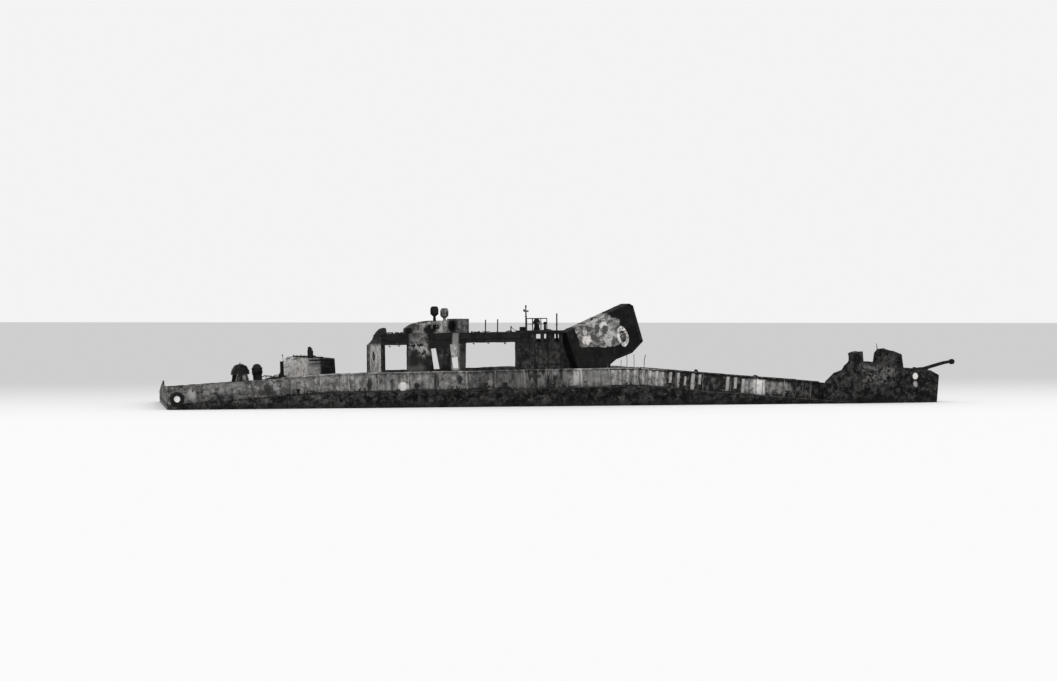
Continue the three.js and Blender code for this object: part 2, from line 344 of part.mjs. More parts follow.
// ---- on the deckhouse roof: dented splinter shield, locker, vents and the last stanchions ----
const tubPlan = (r) => [[3300 + r, -2500], [3300 + r, -3250], [3800 + r * 0.6, -3900 + r], [4900, -3900 + r], [5520 - r, -3500], [5520 - r, -2200], [4900, -1780 - r], [3800 + r * 0.6, -1780 - r]];
const shieldTop = prismY([[3200, 2400], [5600, 2400], [5600, 3190], [4700, 3180], [4300, 3160], [3900, 3060], [3600, 2960], [3200, 2800]], -4000, -1700);
add(midGroup, 'splinter_shield', cut(prismZ(tubPlan(0), H.top + GAP, 3300).intersect(shieldTop), prismZ(tubPlan(55), H.top - 10 + 61, 3400),
  prismY([[3480, 2800], [3760, 2760], [3790, 3010], [3520, 3000]], -4000, -2800), prismY([[4150, 2800], [4720, 2790], [4700, 3010], [4180, 3020]], -4000, -2800)).add(
  box(5500, 6130, -3850, -2100, H.top + GAP, 3245)), 'faded');
[[4735, 3850], [5210, 3760]].forEach(([x, top], i) => add(midGroup, 'roof_vent_' + (i + 1),
  lathe([[0, H.top + 62], [95, H.top + 62], [60, top - 470], [170, top - 380], [190, top - 120], [120, top], [0, top]], 14, x, -2850), i ? 'faded' : 'gear'));

// ---- shelter torn off its seat, standing on its after edge ----
const S = SHELTER;
const room = insetOutline(SHELTER_SIDE, S.wall);
const slope = Math.atan2(SHELTER_SIDE[5][1] - SHELTER_SIDE[6][1], SHELTER_SIDE[5][0] - SHELTER_SIDE[6][0]);   // of its bottom edge
const below = [150 * Math.sin(slope), -150 * Math.cos(slope)];
const openRoom = [...room.slice(0, 6), [room[5][0] + below[0], room[5][1] + below[1]], [room[6][0] + below[0], room[6][1] + below[1]], room[6]];
const doorway = [[12150, 800], [12749, 1053], [12165, 2434], [11567, 2181]];   // x, w, in its inboard side
add(midGroup, 'toppled_shelter', cut(prismY(SHELTER_SIDE, S.y0, S.y1), prismY(openRoom, S.y0 + S.wall, S.y1 - S.wall), prismY(doorway, S.y1 - 200, S.y1 + 50),
  rod(SHELTER_PORT.r, [SHELTER_PORT.x, S.y0 - 50, SHELTER_PORT.w], [SHELTER_PORT.x, S.y0 + 200, SHELTER_PORT.w], 16)), 'faded');
// buckled frames left of its seat, that prop it up
const undersideAt = (x) => SHELTER_SIDE[6][1] + (x - SHELTER_SIDE[6][0]) * Math.tan(slope);
add(midGroup, 'buckled_frames', join(box(11800, 13700, -3930, -3870, GAP, 60), box(11800, 13700, -1850, -1790, GAP, 60), box(11800, 11860, -3930, -1790, GAP, 60), box(13640, 13700, -3930, -1790, GAP, 60),
  [-3900, -2820].map((y) => prismY([[12840, 20], [12920, 20], [12950, undersideAt(12950) - 2], [12870, undersideAt(12870) - 2]], y - 30, y + 30)),
  box(12840, 12920, -3930, -2790, GAP, 58)), 'gear');

// ---- port side: one cabin left, and the torn sill of the rest ----
const C = PORT_CABIN;
add(midGroup, 'port_cabin', cut(box(C.x0, C.x1, C.y0, C.y1, GAP, C.h), box(C.x0 + C.wall, C.x1 - C.wall, C.y0 + C.wall, C.y1 - C.wall, 60, C.h + 50),
  box(C.x0 - 60, C.x0 + 200, 2500, 3220, 130, 1950), ...[11200, 12100].map((x) => rod(150, [x, C.y1 - 200, 1500], [x, C.y1 + 60, 1500], 14)), ...[11200, 12100].map((x) => rod(150, [x, C.y0 - 60, 1500], [x, C.y0 + 200, 1500], 14))), 'house');
add(midGroup, 'port_cabin_roof', box(C.x0 - 50, C.x1 + 50, C.y0 - 40, C.y1 + 50, C.h + GAP, C.h + 60), 'house');
add(midGroup, 'port_cabin_door', box(C.x0 - 52, C.x0 - 8, 2470, 3250, 100, 1980), 'house');
add(midGroup, 'port_sill', cut(prismY([[2000, GAP], [9700, GAP], [9700, 620], [9400, 560], [9200, 300], [8600, 260], [8300, 540], [6900, 600], [6500, 330], [5200, 280], [4900, 560], [3600, 500], [3400, 240], [2000, 300]], 1760, 3960),
  box(2060, 9640, 1820, 3900, -10, 900), box(5900, 6600, 1700, 1900, -10, 900)), 'house');

// ---- bitts on the side decks: two posts on a plate ----
const bitt = (x, y) => join(box(x - 260, x + 260, y - 130, y + 130, GAP, 40), [-1, 1].map((s) => join(rod(75, [x + s * 150, y, 30], [x + s * 150, y, 380], 12), rod(100, [x + s * 150, y, 360], [x + s * 150, y, 400], 12))));
pair(sternGroup, 'bitt_stern', bitt(-5400, -4500), 'gear');

// ---- place the origin at the middle of the box, on the ground ----
root.updateMatrixWorld(true);
const bounds = new THREE.Box3().setFromObject(root, true);
hull.position.x = -(bounds.min.x + bounds.max.x) / 2;
hull.position.y = -(bounds.min.y + bounds.max.y) / 2;
hull.position.z = -bounds.min.z;
root.updateMatrixWorld(true);

export default root;
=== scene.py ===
# A steel tank landing craft, left as a hulk: its back is broken in two places, its deckhouse is gutted and a
# shelter lies toppled on deck. Metres, +X to the bow, +Y to port, +Z up; the still waterline is WATER.
import bpy, bmesh, math, random
import numpy as np
from mathutils import Matrix, Vector, noise


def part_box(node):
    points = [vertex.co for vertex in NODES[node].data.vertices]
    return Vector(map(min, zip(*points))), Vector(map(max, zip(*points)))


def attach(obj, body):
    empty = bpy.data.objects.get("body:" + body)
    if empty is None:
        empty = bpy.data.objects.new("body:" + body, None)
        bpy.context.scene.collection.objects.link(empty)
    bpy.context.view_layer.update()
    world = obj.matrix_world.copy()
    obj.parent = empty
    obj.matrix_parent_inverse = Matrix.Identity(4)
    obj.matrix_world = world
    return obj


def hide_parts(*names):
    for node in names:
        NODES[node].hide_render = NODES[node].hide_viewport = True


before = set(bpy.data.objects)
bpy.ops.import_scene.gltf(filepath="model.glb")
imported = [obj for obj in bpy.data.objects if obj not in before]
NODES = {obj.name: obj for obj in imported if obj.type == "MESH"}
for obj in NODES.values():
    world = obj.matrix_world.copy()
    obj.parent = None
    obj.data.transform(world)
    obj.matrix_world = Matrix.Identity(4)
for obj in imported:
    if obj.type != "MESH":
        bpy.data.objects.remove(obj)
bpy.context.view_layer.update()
HULL = "hull"

# ---------------------------------------------------------------- places
# Each hull section has its own deck frame: x along the deck, y to port, w up from the deck.
PITCH = {"stern": 3.8, "mid": 0.8, "bow": -4.5, "ramp": -21.2}
MID_LENGTH = 14.3
_p = math.radians(PITCH["mid"])
_lo, _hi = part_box("deckhouse_outer_wall")
OX = _lo.x - (1.95 * math.cos(_p) - 2.15 * math.sin(_p))
OZ = _lo.z - 1.95 * math.sin(_p) - 0.001
WATER = OZ - 0.7


def deck_frame(x, z, pitch):
    return Matrix.Translation((x, 0, z)) @ Matrix.Rotation(-math.radians(pitch), 4, "Y")


STERN = deck_frame(OX, OZ, PITCH["stern"])
MID = deck_frame(OX, OZ, PITCH["mid"])
_b = MID @ Vector((MID_LENGTH, 0, 0))
BOW = deck_frame(_b.x, _b.z, PITCH["bow"])
_r = BOW @ Vector((15.33, 0, -0.115))
RAMP = deck_frame(_r.x, _r.z, PITCH["ramp"])


# ---------------------------------------------------------------- node graphs
class Graph:
    """One material's node graph, written as arithmetic on its sockets."""

    def __init__(self, name):
        self.mat = bpy.data.materials.new(name)
        self.mat.use_nodes = True
        self.nt = self.mat.node_tree
        self.nt.nodes.clear()
        place = self.node("ShaderNodeTexCoord")
        self.p, self.n = Val(self, place.outputs["Object"]), Val(self, place.outputs["Normal"])

    def node(self, kind, **settings):
        n = self.nt.nodes.new(kind)
        for k, v in settings.items():
            setattr(n, k, v)
        return n

    def put(self, socket, v):
        if isinstance(v, Val):
            self.nt.links.new(v.s, socket)
        elif isinstance(v, (tuple, list)):
            socket.default_value = tuple(v) if len(socket.default_value) == len(v) else tuple(v) + (1.0,)
        else:
            socket.default_value = v

    def math(self, op, *args, clamp=False):
        n = self.node("ShaderNodeMath", operation=op, use_clamp=clamp)
        for s, v in zip(n.inputs, args):
            self.put(s, v)
        return Val(self, n.outputs[0])

    def vmath(self, op, a, b, out=0):
        n = self.node("ShaderNodeVectorMath", operation=op)
        self.put(n.inputs[0], a)
        self.put(n.inputs[1], b)
        return Val(self, n.outputs[out])

    def dot(self, a, b):
        return self.vmath("DOT_PRODUCT", a, b, "Value")

    def xyz(self, v):
        n = self.node("ShaderNodeSeparateXYZ")
        self.put(n.inputs[0], v)
        return [Val(self, o) for o in n.outputs]

    def vec(self, x, y, z):
        n = self.node("ShaderNodeCombineXYZ")
        for s, v in zip(n.inputs, (x, y, z)):
            self.put(s, v)
        return Val(self, n.outputs[0])

    def noise(self, v, scale, detail=4.0, rough=0.55, distort=0.0):
        n = self.node("ShaderNodeTexNoise")
        self.put(n.inputs["Vector"], v)
        for k, x in (("Scale", scale), ("Detail", detail), ("Roughness", rough), ("Distortion", distort)):
            n.inputs[k].default_value = x
        return Val(self, n.outputs[0])

    def cells(self, v, scale, feature="F1", out=0, randomness=1.0):
        n = self.node("ShaderNodeTexVoronoi", feature=feature)
        self.put(n.inputs["Vector"], v)
        n.inputs["Scale"].default_value = scale
        n.inputs["Randomness"].default_value = randomness
        return Val(self, n.outputs[out])

    def step(self, v, a, b):
        """0 below a, 1 above b, smooth between (a may be the larger)."""
        n = self.node("ShaderNodeMapRange", interpolation_type="SMOOTHSTEP")
        self.put(n.inputs["Value"], v)
        n.inputs["From Min"].default_value, n.inputs["From Max"].default_value = min(a, b), max(a, b)
        n.inputs["To Min"].default_value, n.inputs["To Max"].default_value = (0, 1) if a < b else (1, 0)
        return Val(self, n.outputs["Result"])

    def mix(self, f, a, b):
        n = self.node("ShaderNodeMix", data_type="RGBA")
        self.put(n.inputs[0], f)
        self.put(n.inputs[6], a)
        self.put(n.inputs[7], b)
        return Val(self, n.outputs[2])

    def bump(self, height, distance=0.01, strength=1.0, normal=None):
        n = self.node("ShaderNodeBump")
        n.inputs["Strength"].default_value, n.inputs["Distance"].default_value = strength, distance
        self.put(n.inputs["Height"], height)
        if normal is not None:
            self.put(n.inputs["Normal"], normal)
        return Val(self, n.outputs[0])

    def finish(self, color, roughness, normal=None, metallic=0.0, specular=0.4):
        b = self.node("ShaderNodeBsdfPrincipled")
        self.put(b.inputs["Base Color"], color)
        self.put(b.inputs["Roughness"], roughness)
        b.inputs["Metallic"].default_value = metallic
        b.inputs["Specular IOR Level"].default_value = specular
        if normal is not None:
            self.put(b.inputs["Normal"], normal)
        out = self.node("ShaderNodeOutputMaterial")
        self.nt.links.new(b.outputs[0], out.inputs[0])
        return self.mat

    def local(self, m):
        """The same place in a deck frame: x along the deck, y to port, z up from the deck, in metres."""
        o = m.translation
        r = self.vmath("SUBTRACT", self.p, tuple(o))
        ex, ez = m.to_3x3().col[0], m.to_3x3().col[2]
        y = self.xyz(r)[1]
        return self.dot(r, tuple(ex)), y, self.dot(r, tuple(ez))

    def outer(self):
        """1 on faces that look out to starboard, 0 on the others."""
        return self.step(self.xyz(self.n)[1], -0.15, -0.45)


class Val:
    def __init__(self, g, s):
        self.g, self.s = g, s

    def __add__(self, o): return self.g.math("ADD", self, o)
    def __radd__(self, o): return self.g.math("ADD", o, self)
    def __sub__(self, o): return self.g.math("SUBTRACT", self, o)
    def __rsub__(self, o): return self.g.math("SUBTRACT", o, self)
    def __mul__(self, o): return self.g.math("MULTIPLY", self, o)
    def __rmul__(self, o): return self.g.math("MULTIPLY", o, self)
    def __truediv__(self, o): return self.g.math("DIVIDE", self, o)
    def max(self, o): return self.g.math("MAXIMUM", self, o)
    def min(self, o): return self.g.math("MINIMUM", self, o)
    def abs(self): return self.g.math("ABSOLUTE", self)


def patch(g, x, w, rag, x0, x1, w0, w1, soft=0.06, lean=0.0):
    """1 inside a ragged-edged rectangle of the deck frame (metres), 0 outside. lean slants it along x."""
    u = x + rag - (lean * w if lean else 0.0) if lean else x + rag
    v = w + rag
    a = g.step(u, x0 - soft, x0 + soft).min(g.step(u, x1 + soft, x1 - soft))
    b = g.step(v, w0 - soft, w0 + soft).min(g.step(v, w1 + soft, w1 - soft))
    return a * b


def blob(g, x, w, rag, cx, cw, rx, rw, soft=0.35):
    """1 inside a ragged ellipse, falling to 0 at its edge."""
    a, b = (x - cx) / rx, (w - cw) / rw
    d = g.math("SQRT", a * a + b * b) + rag * (2.0 / min(rx, rw) * 0.5)
    return g.step(d, 1.0 + soft, 1.0 - soft)


# ---------------------------------------------------------------- mesh building
def V(*a):
    return Vector(a)


class Piece:
    """One visible piece, built in millimetres in a deck frame."""

    def __init__(self, name, material, m=MID, body=HULL, slot=None, seed=1):
        self.name, self.material, self.m, self.body, self.slot = name, material, m, body, slot
        self.bm = bmesh.new()
        self.rnd = random.Random(seed)
        self.mats = [material]
        self.cur = 0

    def use(self, material):
        if material not in self.mats:
            self.mats.append(material)
        self.cur = self.mats.index(material)
        return self

    def mesh(self, verts, faces, t=None):
        vs = [self.bm.verts.new(t @ Vector(v) if t else Vector(v)) for v in verts]
        out = []
        for f in faces:
            try:
                face = self.bm.faces.new([vs[i] for i in f])
                face.material_index = self.cur
                out.append(face)
            except ValueError:
                pass
        return vs, out

    def box(self, x0, x1, y0, y1, z0, z1, t=None):
        v = [(x, y, z) for x in (x0, x1) for y in (y0, y1) for z in (z0, z1)]
        return self.mesh(v, [(0, 1, 3, 2), (4, 6, 7, 5), (0, 4, 5, 1), (2, 3, 7, 6), (0, 2, 6, 4), (1, 5, 7, 3)], t)

    def prism(self, pts, axis, a, b, t=None):
        """An outline pushed along an axis: 'y' takes (x, w) points, 'x' takes (y, w), 'z' takes (x, y)."""
        put = {"y": lambda p, d: (p[0], d, p[1]), "x": lambda p, d: (d, p[0], p[1]), "z": lambda p, d: (p[0], p[1], d)}[axis]
        n = len(pts)
        area = sum(pts[i][0] * pts[(i + 1) % n][1] - pts[(i + 1) % n][0] * pts[i][1] for i in range(n))
        flip = (area > 0) == (axis == "y")
        v = [put(p, a) for p in pts] + [put(p, b) for p in pts]
        f = [tuple(range(n))[::-1], tuple(range(n, 2 * n))] + [(i, (i + 1) % n, n + (i + 1) % n, n + i) for i in range(n)]
        if flip:
            f = [q[::-1] for q in f]
        return self.mesh(v, f, t)

    def tube(self, pts, r, sides=8, r2=None, closed=False, t=None):
        """A round bar along a line of points. r may be one radius or a list, one for each point."""
        pts = [Vector(p) for p in pts]
        n = len(pts)
        rs = r if isinstance(r, (list, tuple)) else [r + ((r2 if r2 is not None else r) - r) * i / max(1, n - 1) for i in range(n)]
        up = None
        verts = []
        for i, p in enumerate(pts):
            a, b = (pts[i - 1] if i or closed else p), (pts[(i + 1) % n] if i < n - 1 or closed else p)
            d = (b - a).normalized()
            if up is None:
                up = d.orthogonal().normalized()
            up = (up - d * up.dot(d)).normalized()
            side = d.cross(up)
            verts += [p + (up * math.cos(k * 2 * math.pi / sides) + side * math.sin(k * 2 * math.pi / sides)) * rs[i] for k in range(sides)]
        faces = []
        for i in range(n if closed else n - 1):
            a, b = i * sides, ((i + 1) % n) * sides
            faces += [(a + k, a + (k + 1) % sides, b + (k + 1) % sides, b + k) for k in range(sides)]
        if not closed:
            faces += [tuple(range(sides))[::-1], tuple(range((n - 1) * sides, n * sides))]
        return self.mesh(verts, faces, t)

    def bar(self, a, b, wide, thick, up=(0, 0, 1), t=None):
        """A flat or square bar from a to b: wide across, thick along up."""
        a, b, up = Vector(a), Vector(b), Vector(up)
        d = (b - a).normalized()
        side = d.cross(up).normalized()
        up = side.cross(d)
        v = [p + side * (s * wide / 2) + up * (k * thick / 2) for p in (a, b) for s in (-1, 1) for k in (-1, 1)]
        return self.mesh(v, [(0, 2, 3, 1), (4, 5, 7, 6), (0, 1, 5, 4), (2, 6, 7, 3), (0, 4, 6, 2), (1, 3, 7, 5)], t)

    def lathe(self, profile, at, axis=(0, 0, 1), sides=24, t=None):
        """A turned shape: profile of (radius, height), closed on the axis or on itself."""
        q = Vector((0, 0, 1)).rotation_difference(Vector(axis)).to_matrix().to_4x4()
        q = Matrix.Translation(at) @ q
        if t:
            q = t @ q
        rows, verts = [], []
        for r, h in profile:
            if r <= 1e-6:
                rows.append([len(verts)])
                verts.append((0, 0, h))
            else:
                rows.append(list(range(len(verts), len(verts) + sides)))
                verts += [(r * math.cos(k * 2 * math.pi / sides), r * math.sin(k * 2 * math.pi / sides), h) for k in range(sides)]
        faces = []
        pairs = list(zip(rows, rows[1:]))
        if profile[0][0] > 1e-6 and profile[-1][0] > 1e-6:
            pairs.append((rows[-1], rows[0]))
        for a, b in pairs:
            for k in range(sides):
                k2 = (k + 1) % sides
                if len(a) == 1 and len(b) == 1:
                    continue
                if len(a) == 1:
                    faces.append((a[0], b[k2], b[k]))
                elif len(b) == 1:
                    faces.append((a[k], a[k2], b[0]))
                else:
                    faces.append((a[k], a[k2], b[k2], b[k]))
        return self.mesh(verts, faces, q)

    def ring(self, at, axis, r_in, r_out, thick, sides=24, edge=4):
        """A flat ring with softened edges."""
        e = min(edge, thick / 3, (r_out - r_in) / 3)
        return self.lathe([(r_in, 0), (r_in, thick - e), (r_in + e, thick), (r_out - e, thick), (r_out, thick - e), (r_out, 0)], at, axis, sides)

    def bolts(self, points, r=16, h=14, axis=(0, -1, 0)):
        for p in points:
            self.lathe([(0, 0), (r, 0), (r, h), (r * 0.72, h + 3), (0, h + 3)], p, axis, 6)

    def take(self, node, dx=None, dy=None, dz=None, keep=None):
        """Starts from a CAD node's own shape, cut into a fine grid for dents."""
        b = bmesh.new()
        b.from_mesh(NODES[node].data)
        inv = Matrix.Scale(1000, 4) @ self.m.inverted()
        bmesh.ops.transform(b, matrix=inv, verts=b.verts)
        bmesh.ops.remove_doubles(b, verts=b.verts, dist=0.05)
        bmesh.ops.dissolve_limit(b, angle_limit=math.radians(0.6), verts=b.verts, edges=b.edges, use_dissolve_boundaries=False)
        for axis, step in enumerate((dx, dy, dz)):
            if not step:
                continue
            lo = min(v.co[axis] for v in b.verts)
            hi = max(v.co[axis] for v in b.verts)
            k = math.floor(lo / step) + 1
            while k * step < hi - 1:
                if k * step > lo + 1:
                    co, no = [0, 0, 0], [0, 0, 0]
                    co[axis], no[axis] = k * step, 1
                    bmesh.ops.bisect_plane(b, geom=b.verts[:] + b.edges[:] + b.faces[:], dist=0.2, plane_co=co, plane_no=no)
                k += 1
        for f in b.faces:
            f.material_index = self.cur
        me = bpy.data.meshes.new("tmp")
        b.to_mesh(me)
        b.free()
        self.bm.from_mesh(me)
        bpy.data.meshes.remove(me)
        return self

    def paint(self, material, test):
        """Gives a material to the faces for which test(centre, normal) holds."""
        self.use(material)
        for f in self.bm.faces:
            if test(f.calc_center_median(), f.normal):
                f.material_index = self.cur
        return self

    def move(self, fn):
        """Shifts each vertex by fn(place), in millimetres."""
        for v in self.bm.verts:
            d = fn(v.co)
            if d is not None:
                v.co += Vector(d)
        return self

    def done(self, bevel=0.0, segments=1, smooth=35, replaces=(), angle=40):
        bmesh.ops.recalc_face_normals(self.bm, faces=self.bm.faces)
        bmesh.ops.transform(self.bm, matrix=self.m @ Matrix.Scale(0.001, 4), verts=self.bm.verts)
        me = bpy.data.meshes.new(self.name)
        self.bm.to_mesh(me)
        self.bm.free()
        o = bpy.data.objects.new(self.name, me)
        bpy.context.scene.collection.objects.link(o)
        for mat in self.mats:
            me.materials.append(mat)
        if bevel:
            b = o.modifiers.new("edge", "BEVEL")
            b.width, b.segments, b.limit_method, b.angle_limit = bevel / 1000, segments, "ANGLE", math.radians(angle)
            b.use_clamp_overlap = True
        me.shade_smooth()
        me.set_sharp_from_angle(angle=math.radians(smooth))
        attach(o, self.body)
        if replaces:
            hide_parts(*replaces)
        return o


def rough_noise(x, y, z, scale, seed=0.0):
    return noise.noise(Vector((x / scale + seed, y / scale, z / scale)))


# ---------------------------------------------------------------- materials
def lerp(f, a, b):
    return (f * -1.0 + 1.0) * a + f * b


def weathered(name, lo, hi, spot=None, hole=None, scale=1.0, streak=0.25, marks=None, frame_m=None, warm=0.04,
              rough=0.85, bump=0.012, wet=False, metallic=0.0, specular=0.12, grain=0.35, foot=None, flake=None,
              mottle=0.0, clump=0.0):
    """Old paint over rust: mottled between two tones, streaked down the plate, with pale spots and dark scabs.
    mottle adds hand-sized speckling, clump wide dark stains, foot a ragged dark edge along the plate's foot."""
    g = Graph(name)
    x, y, z = g.xyz(g.p)
    big = g.noise(g.p, 0.9 * scale, 5, 0.6, 0.3)
    mid = g.noise(g.p, 4.2 * scale, 6, 0.66, 0.6)
    fine = g.noise(g.p, 34.0, 4, 0.7)
    run = g.noise(g.vec(x * 7.0, y * 7.0, z * 0.75), 1.0, 5, 0.6)
    f = g.step(big * 0.38 + mid * (0.62 - streak) + run * streak, 0.41, 0.60)
    v = lerp(f, lo, hi)
    if spot is not None:
        v = lerp(g.step(mid * 0.7 + fine * 0.3, 0.58, 0.66), v, spot)
    if flake is not None:
        edge = g.noise(g.p, 5.5 * scale, 8, 0.72, 0.4) * 0.7 + g.noise(g.p, 1.6, 3, 0.5) * 0.3
        v = lerp(g.step(edge, 0.475, 0.505), flake, v)
    if hole is not None:
        v = lerp(g.step(g.noise(g.p, 6.5 * scale, 4, 0.6, 0.8) * 0.75 + run * 0.25, 0.44, 0.36), v, hole)
    rag = (g.noise(g.p, 2.6, 3, 0.6) * 0.55 + g.noise(g.p, 9.0, 4, 0.7) * 0.45 - 0.5) * 0.62
    if mottle:
        speck = g.noise(g.p, 3.6, 9, 0.76, 0.35)
        v = v * lerp(g.step(speck, 0.445, 0.55), 1.0 - mottle * 0.92, 1.0 + mottle * 1.1)
    if clump:
        stain = g.noise(g.vec(x, y, z * 1.5), 1.25, 9, 0.72, 0.5)
        v = lerp(g.step(stain, 0.515, 0.565) * clump, v, v * 0.16)
    if foot:
        lx, ly, lw = g.local(foot[0])
        v = lerp(g.step(lw + rag * foot[1], foot[2], 0.01), v, v * 0.16)
    if marks:
        lx, ly, lw = g.local(frame_m)
        v = marks(g, v, lx, ly, lw, rag, mid)
    v = v * (fine * (2 * grain) + (1.0 - grain))
    rust = g.step(g.noise(g.p, 1.7, 5, 0.65), 0.45, 0.62)
    k = rust * warm + warm * 0.25
    r = g.noise(g.p, 9.0, 4, 0.6) * 0.25 + (rough - 0.12)
    if wet:
        low = g.step(z + rag * 0.5, WATER + 0.34, WATER + 0.10)
        v = lerp(low, v, v * 0.45)
        r = lerp(low, r, 0.38)
    h = mid * 0.5 + fine * 0.35 + run * 0.3
    col = g.vec(v * (k + 1.0), v, v * (k * -1.0 + 1.0))
    return g.finish(col, r, g.bump(h, bump), metallic, specular)


def marks_mid(g, v, x, y, w, rag, mid):
    out = g.step(y, -3.95, -4.03) * g.outer()
    run = g.noise(g.vec(x * 3.4, y, w * 0.55), 1.0, 4, 0.62)
    far = g.step(x + rag * 1.5, 5.6, 6.3) * g.step(x + rag * 1.5, 11.2, 10.6) * out
    v = lerp(far, v, v * 0.46)
    far = g.step(x + rag * 1.5, 8.0, 8.6) * g.step(x + rag * 1.5, 11.2, 10.6) * out
    v = lerp(far, v, lerp(g.step(run, 0.50, 0.60), v * 0.33, 0.19))
    v = lerp(patch(g, x, w, rag, 8.1, 10.5, -0.2, 0.30, 0.12) * out * g.step(mid, 0.42, 0.56) * 0.6, v, 0.19)
    v = lerp(patch(g, x, w, rag * 0.4, 10.55, 10.75, 0.22, 0.86, 0.08) * out * 0.6, v, 0.25)
    v = lerp(patch(g, x, w, rag * 0.6, 11.10, 11.50, 0.16, 1.2, 0.10) * out * g.step(run * 0.6 + mid * 0.4, 0.38, 0.48), v, 0.50)
    v = lerp(patch(g, x, w, rag * 0.45, 11.32, 11.56, -0.35, 0.26, 0.1) * out * 0.6, v, 0.30)
    v = lerp(g.step(x + rag * 0.5, 12.70, 12.95) * out, v, v * 0.90)
    v = lerp(patch(g, x, w, rag, 11.75, 12.95, 0.2, 0.75, 0.14) * out * 0.55, v, 0.21)
    v = lerp(patch(g, x, w, rag, 11.6, 12.8, -0.2, 0.08, 0.12) * out * 0.6, v, 0.25)
    for cx, cw, rx, rw in ((4.50, 0.35, 0.11, 0.40), (3.58, 0.21, 0.15, 0.15), (6.83, 0.07, 0.2, 0.16),
                           (7.76, 0.12, 0.2, 0.16), (5.6, 0.45, 0.11, 0.2), (9.2, 0.55, 0.3, 0.12), (1.35, 0.3, 0.1, 0.25)):
        v = lerp(blob(g, x, w, rag * 0.45, cx, cw, rx, rw) * out, v, 0.035)
    for cx, cw, rx, rw in ((4.14, 0.24, 0.13, 0.12), (4.78, 0.27, 0.13, 0.13), (7.08, -0.1, 0.14, 0.12),
                           (7.04, 0.32, 0.14, 0.13), (10.18, 0.72, 0.13, 0.12)):
        v = lerp(blob(g, x, w, rag * 0.5, cx, cw, rx, rw) * out * 0.75, v, 0.30)
    v = lerp(blob(g, x, w, rag * 0.05, 2.92, 0.20, 0.22, 0.20, 0.16) * out, v, 0.88)
    return v


def marks_bow(g, v, x, y, w, rag, mid):
    out = g.step(y, -3.95, -4.03) * g.outer()
    chip = g.noise(g.vec(x, y, w * 0.8), 5.0, 7, 0.72, 0.5)
    v = lerp(out, v, v * 1.15)
    black = g.step(x + rag * 0.8, 1.05, 1.45) * out
    v = lerp(black, v, lerp(g.step(chip, 0.47, 0.60), 0.014, 0.105))
    v = lerp(patch(g, x, w, rag * 0.7, 5.30, 5.90, 0.08, 0.70, 0.10) * out * 0.85, v, lerp(g.step(chip, 0.42, 0.56), 0.16, 0.44))
    v = lerp(patch(g, x, w, rag * 0.55, 5.76, 6.34, 0.03, 0.74, 0.09) * out, v, lerp(g.step(chip * 0.7 + mid * 0.3, 0.38, 0.54), 0.42, 0.86))
    v = lerp(patch(g, x, w, rag * 0.9, 6.42, 7.7, 0.1, 0.66, 0.1) * out * 0.85, v, lerp(g.step(chip, 0.42, 0.58), 0.12, 0.34))
    return v


def marks_strip(g, v, x, y, w, rag, mid):
    far = g.step(x, 1.1, 1.4) * g.step(w + rag * 0.7, 0.02, 0.14)
    for cx in (2.07, 3.45, 3.8, 4.14):
        far = far * (g.step((x - cx).abs(), 0.13, 0.17))
    return lerp(far, v, lerp(g.step(mid, 0.40, 0.56), 0.28, 0.42))


def marks_hull_bow(g, v, x, y, w, rag, mid):
    out = g.step(y, -4.0, -4.3) * g.outer()
    v = lerp(patch(g, x, w, rag, 11.0, 12.75, 1.0, 1.85, 0.12) * out * g.step(mid, 0.42, 0.6), v, 0.11)
    v = lerp(blob(g, x, w, rag * 0.2, 13.86, 1.48, 0.15, 0.15, 0.2) * out, v, 0.66)
    v = lerp(blob(g, x, w, rag * 0.4, 13.89, 1.11, 0.11, 0.12) * out, v, 0.32)
    return v


def marks_stern(g, v, x, y, w, rag, mid):
    out = g.step(y, -4.7, -4.8) * g.outer()
    run = g.noise(g.vec(x * 4.5, y, w * 0.9), 1.0, 5, 0.66)
    # painted highlight: a pale streak down the rounded quarter, where it catches the light
    v = lerp(patch(g, x, w, rag * 0.9, -6.97, -6.66, 0.20, 0.66, 0.09) * out * g.step(run * 0.6 + mid * 0.4, 0.40, 0.50), v, 0.30)
    v = lerp(g.step(x + rag, -6.9, -7.2) * out, v, v * 0.75)
    v = lerp(patch(g, x, w, rag * 1.2, -6.5, -4.6, 0.0, 0.42, 0.16) * out * 0.8, v, v * 0.35)
    v = lerp(patch(g, x, w, rag * 1.2, -6.2, -4.4, 0.62, 0.9, 0.1) * out * 0.5, v, 0.17)
    v = lerp(patch(g, x, w, rag * 1.2, -4.6, -3.1, 0.12, 0.40, 0.14) * out * 0.7, v, 0.025)
    return v


def marks_winch(g, v, x, y, w, rag, mid):
    # the lower, once covered part of the near cheek has kept more paint
    out = g.step(y, -0.50, -0.60) * g.outer()
    old = patch(g, x, w, rag * 0.6, -4.37, -4.08, 0.62, 1.04, 0.06).max(patch(g, x, w, rag * 0.6, -3.84, -3.62, 0.62, 0.98, 0.05))
    return lerp(old * out, v, lerp(g.step(mid, 0.42, 0.56), 0.12, 0.27))


def marks_bulkhead(g, v, x, y, w, rag, mid):
    return lerp(g.step(w + rag * 0.8, 1.98, 2.20), v, lerp(g.step(mid, 0.46, 0.6), 0.012, 0.05))


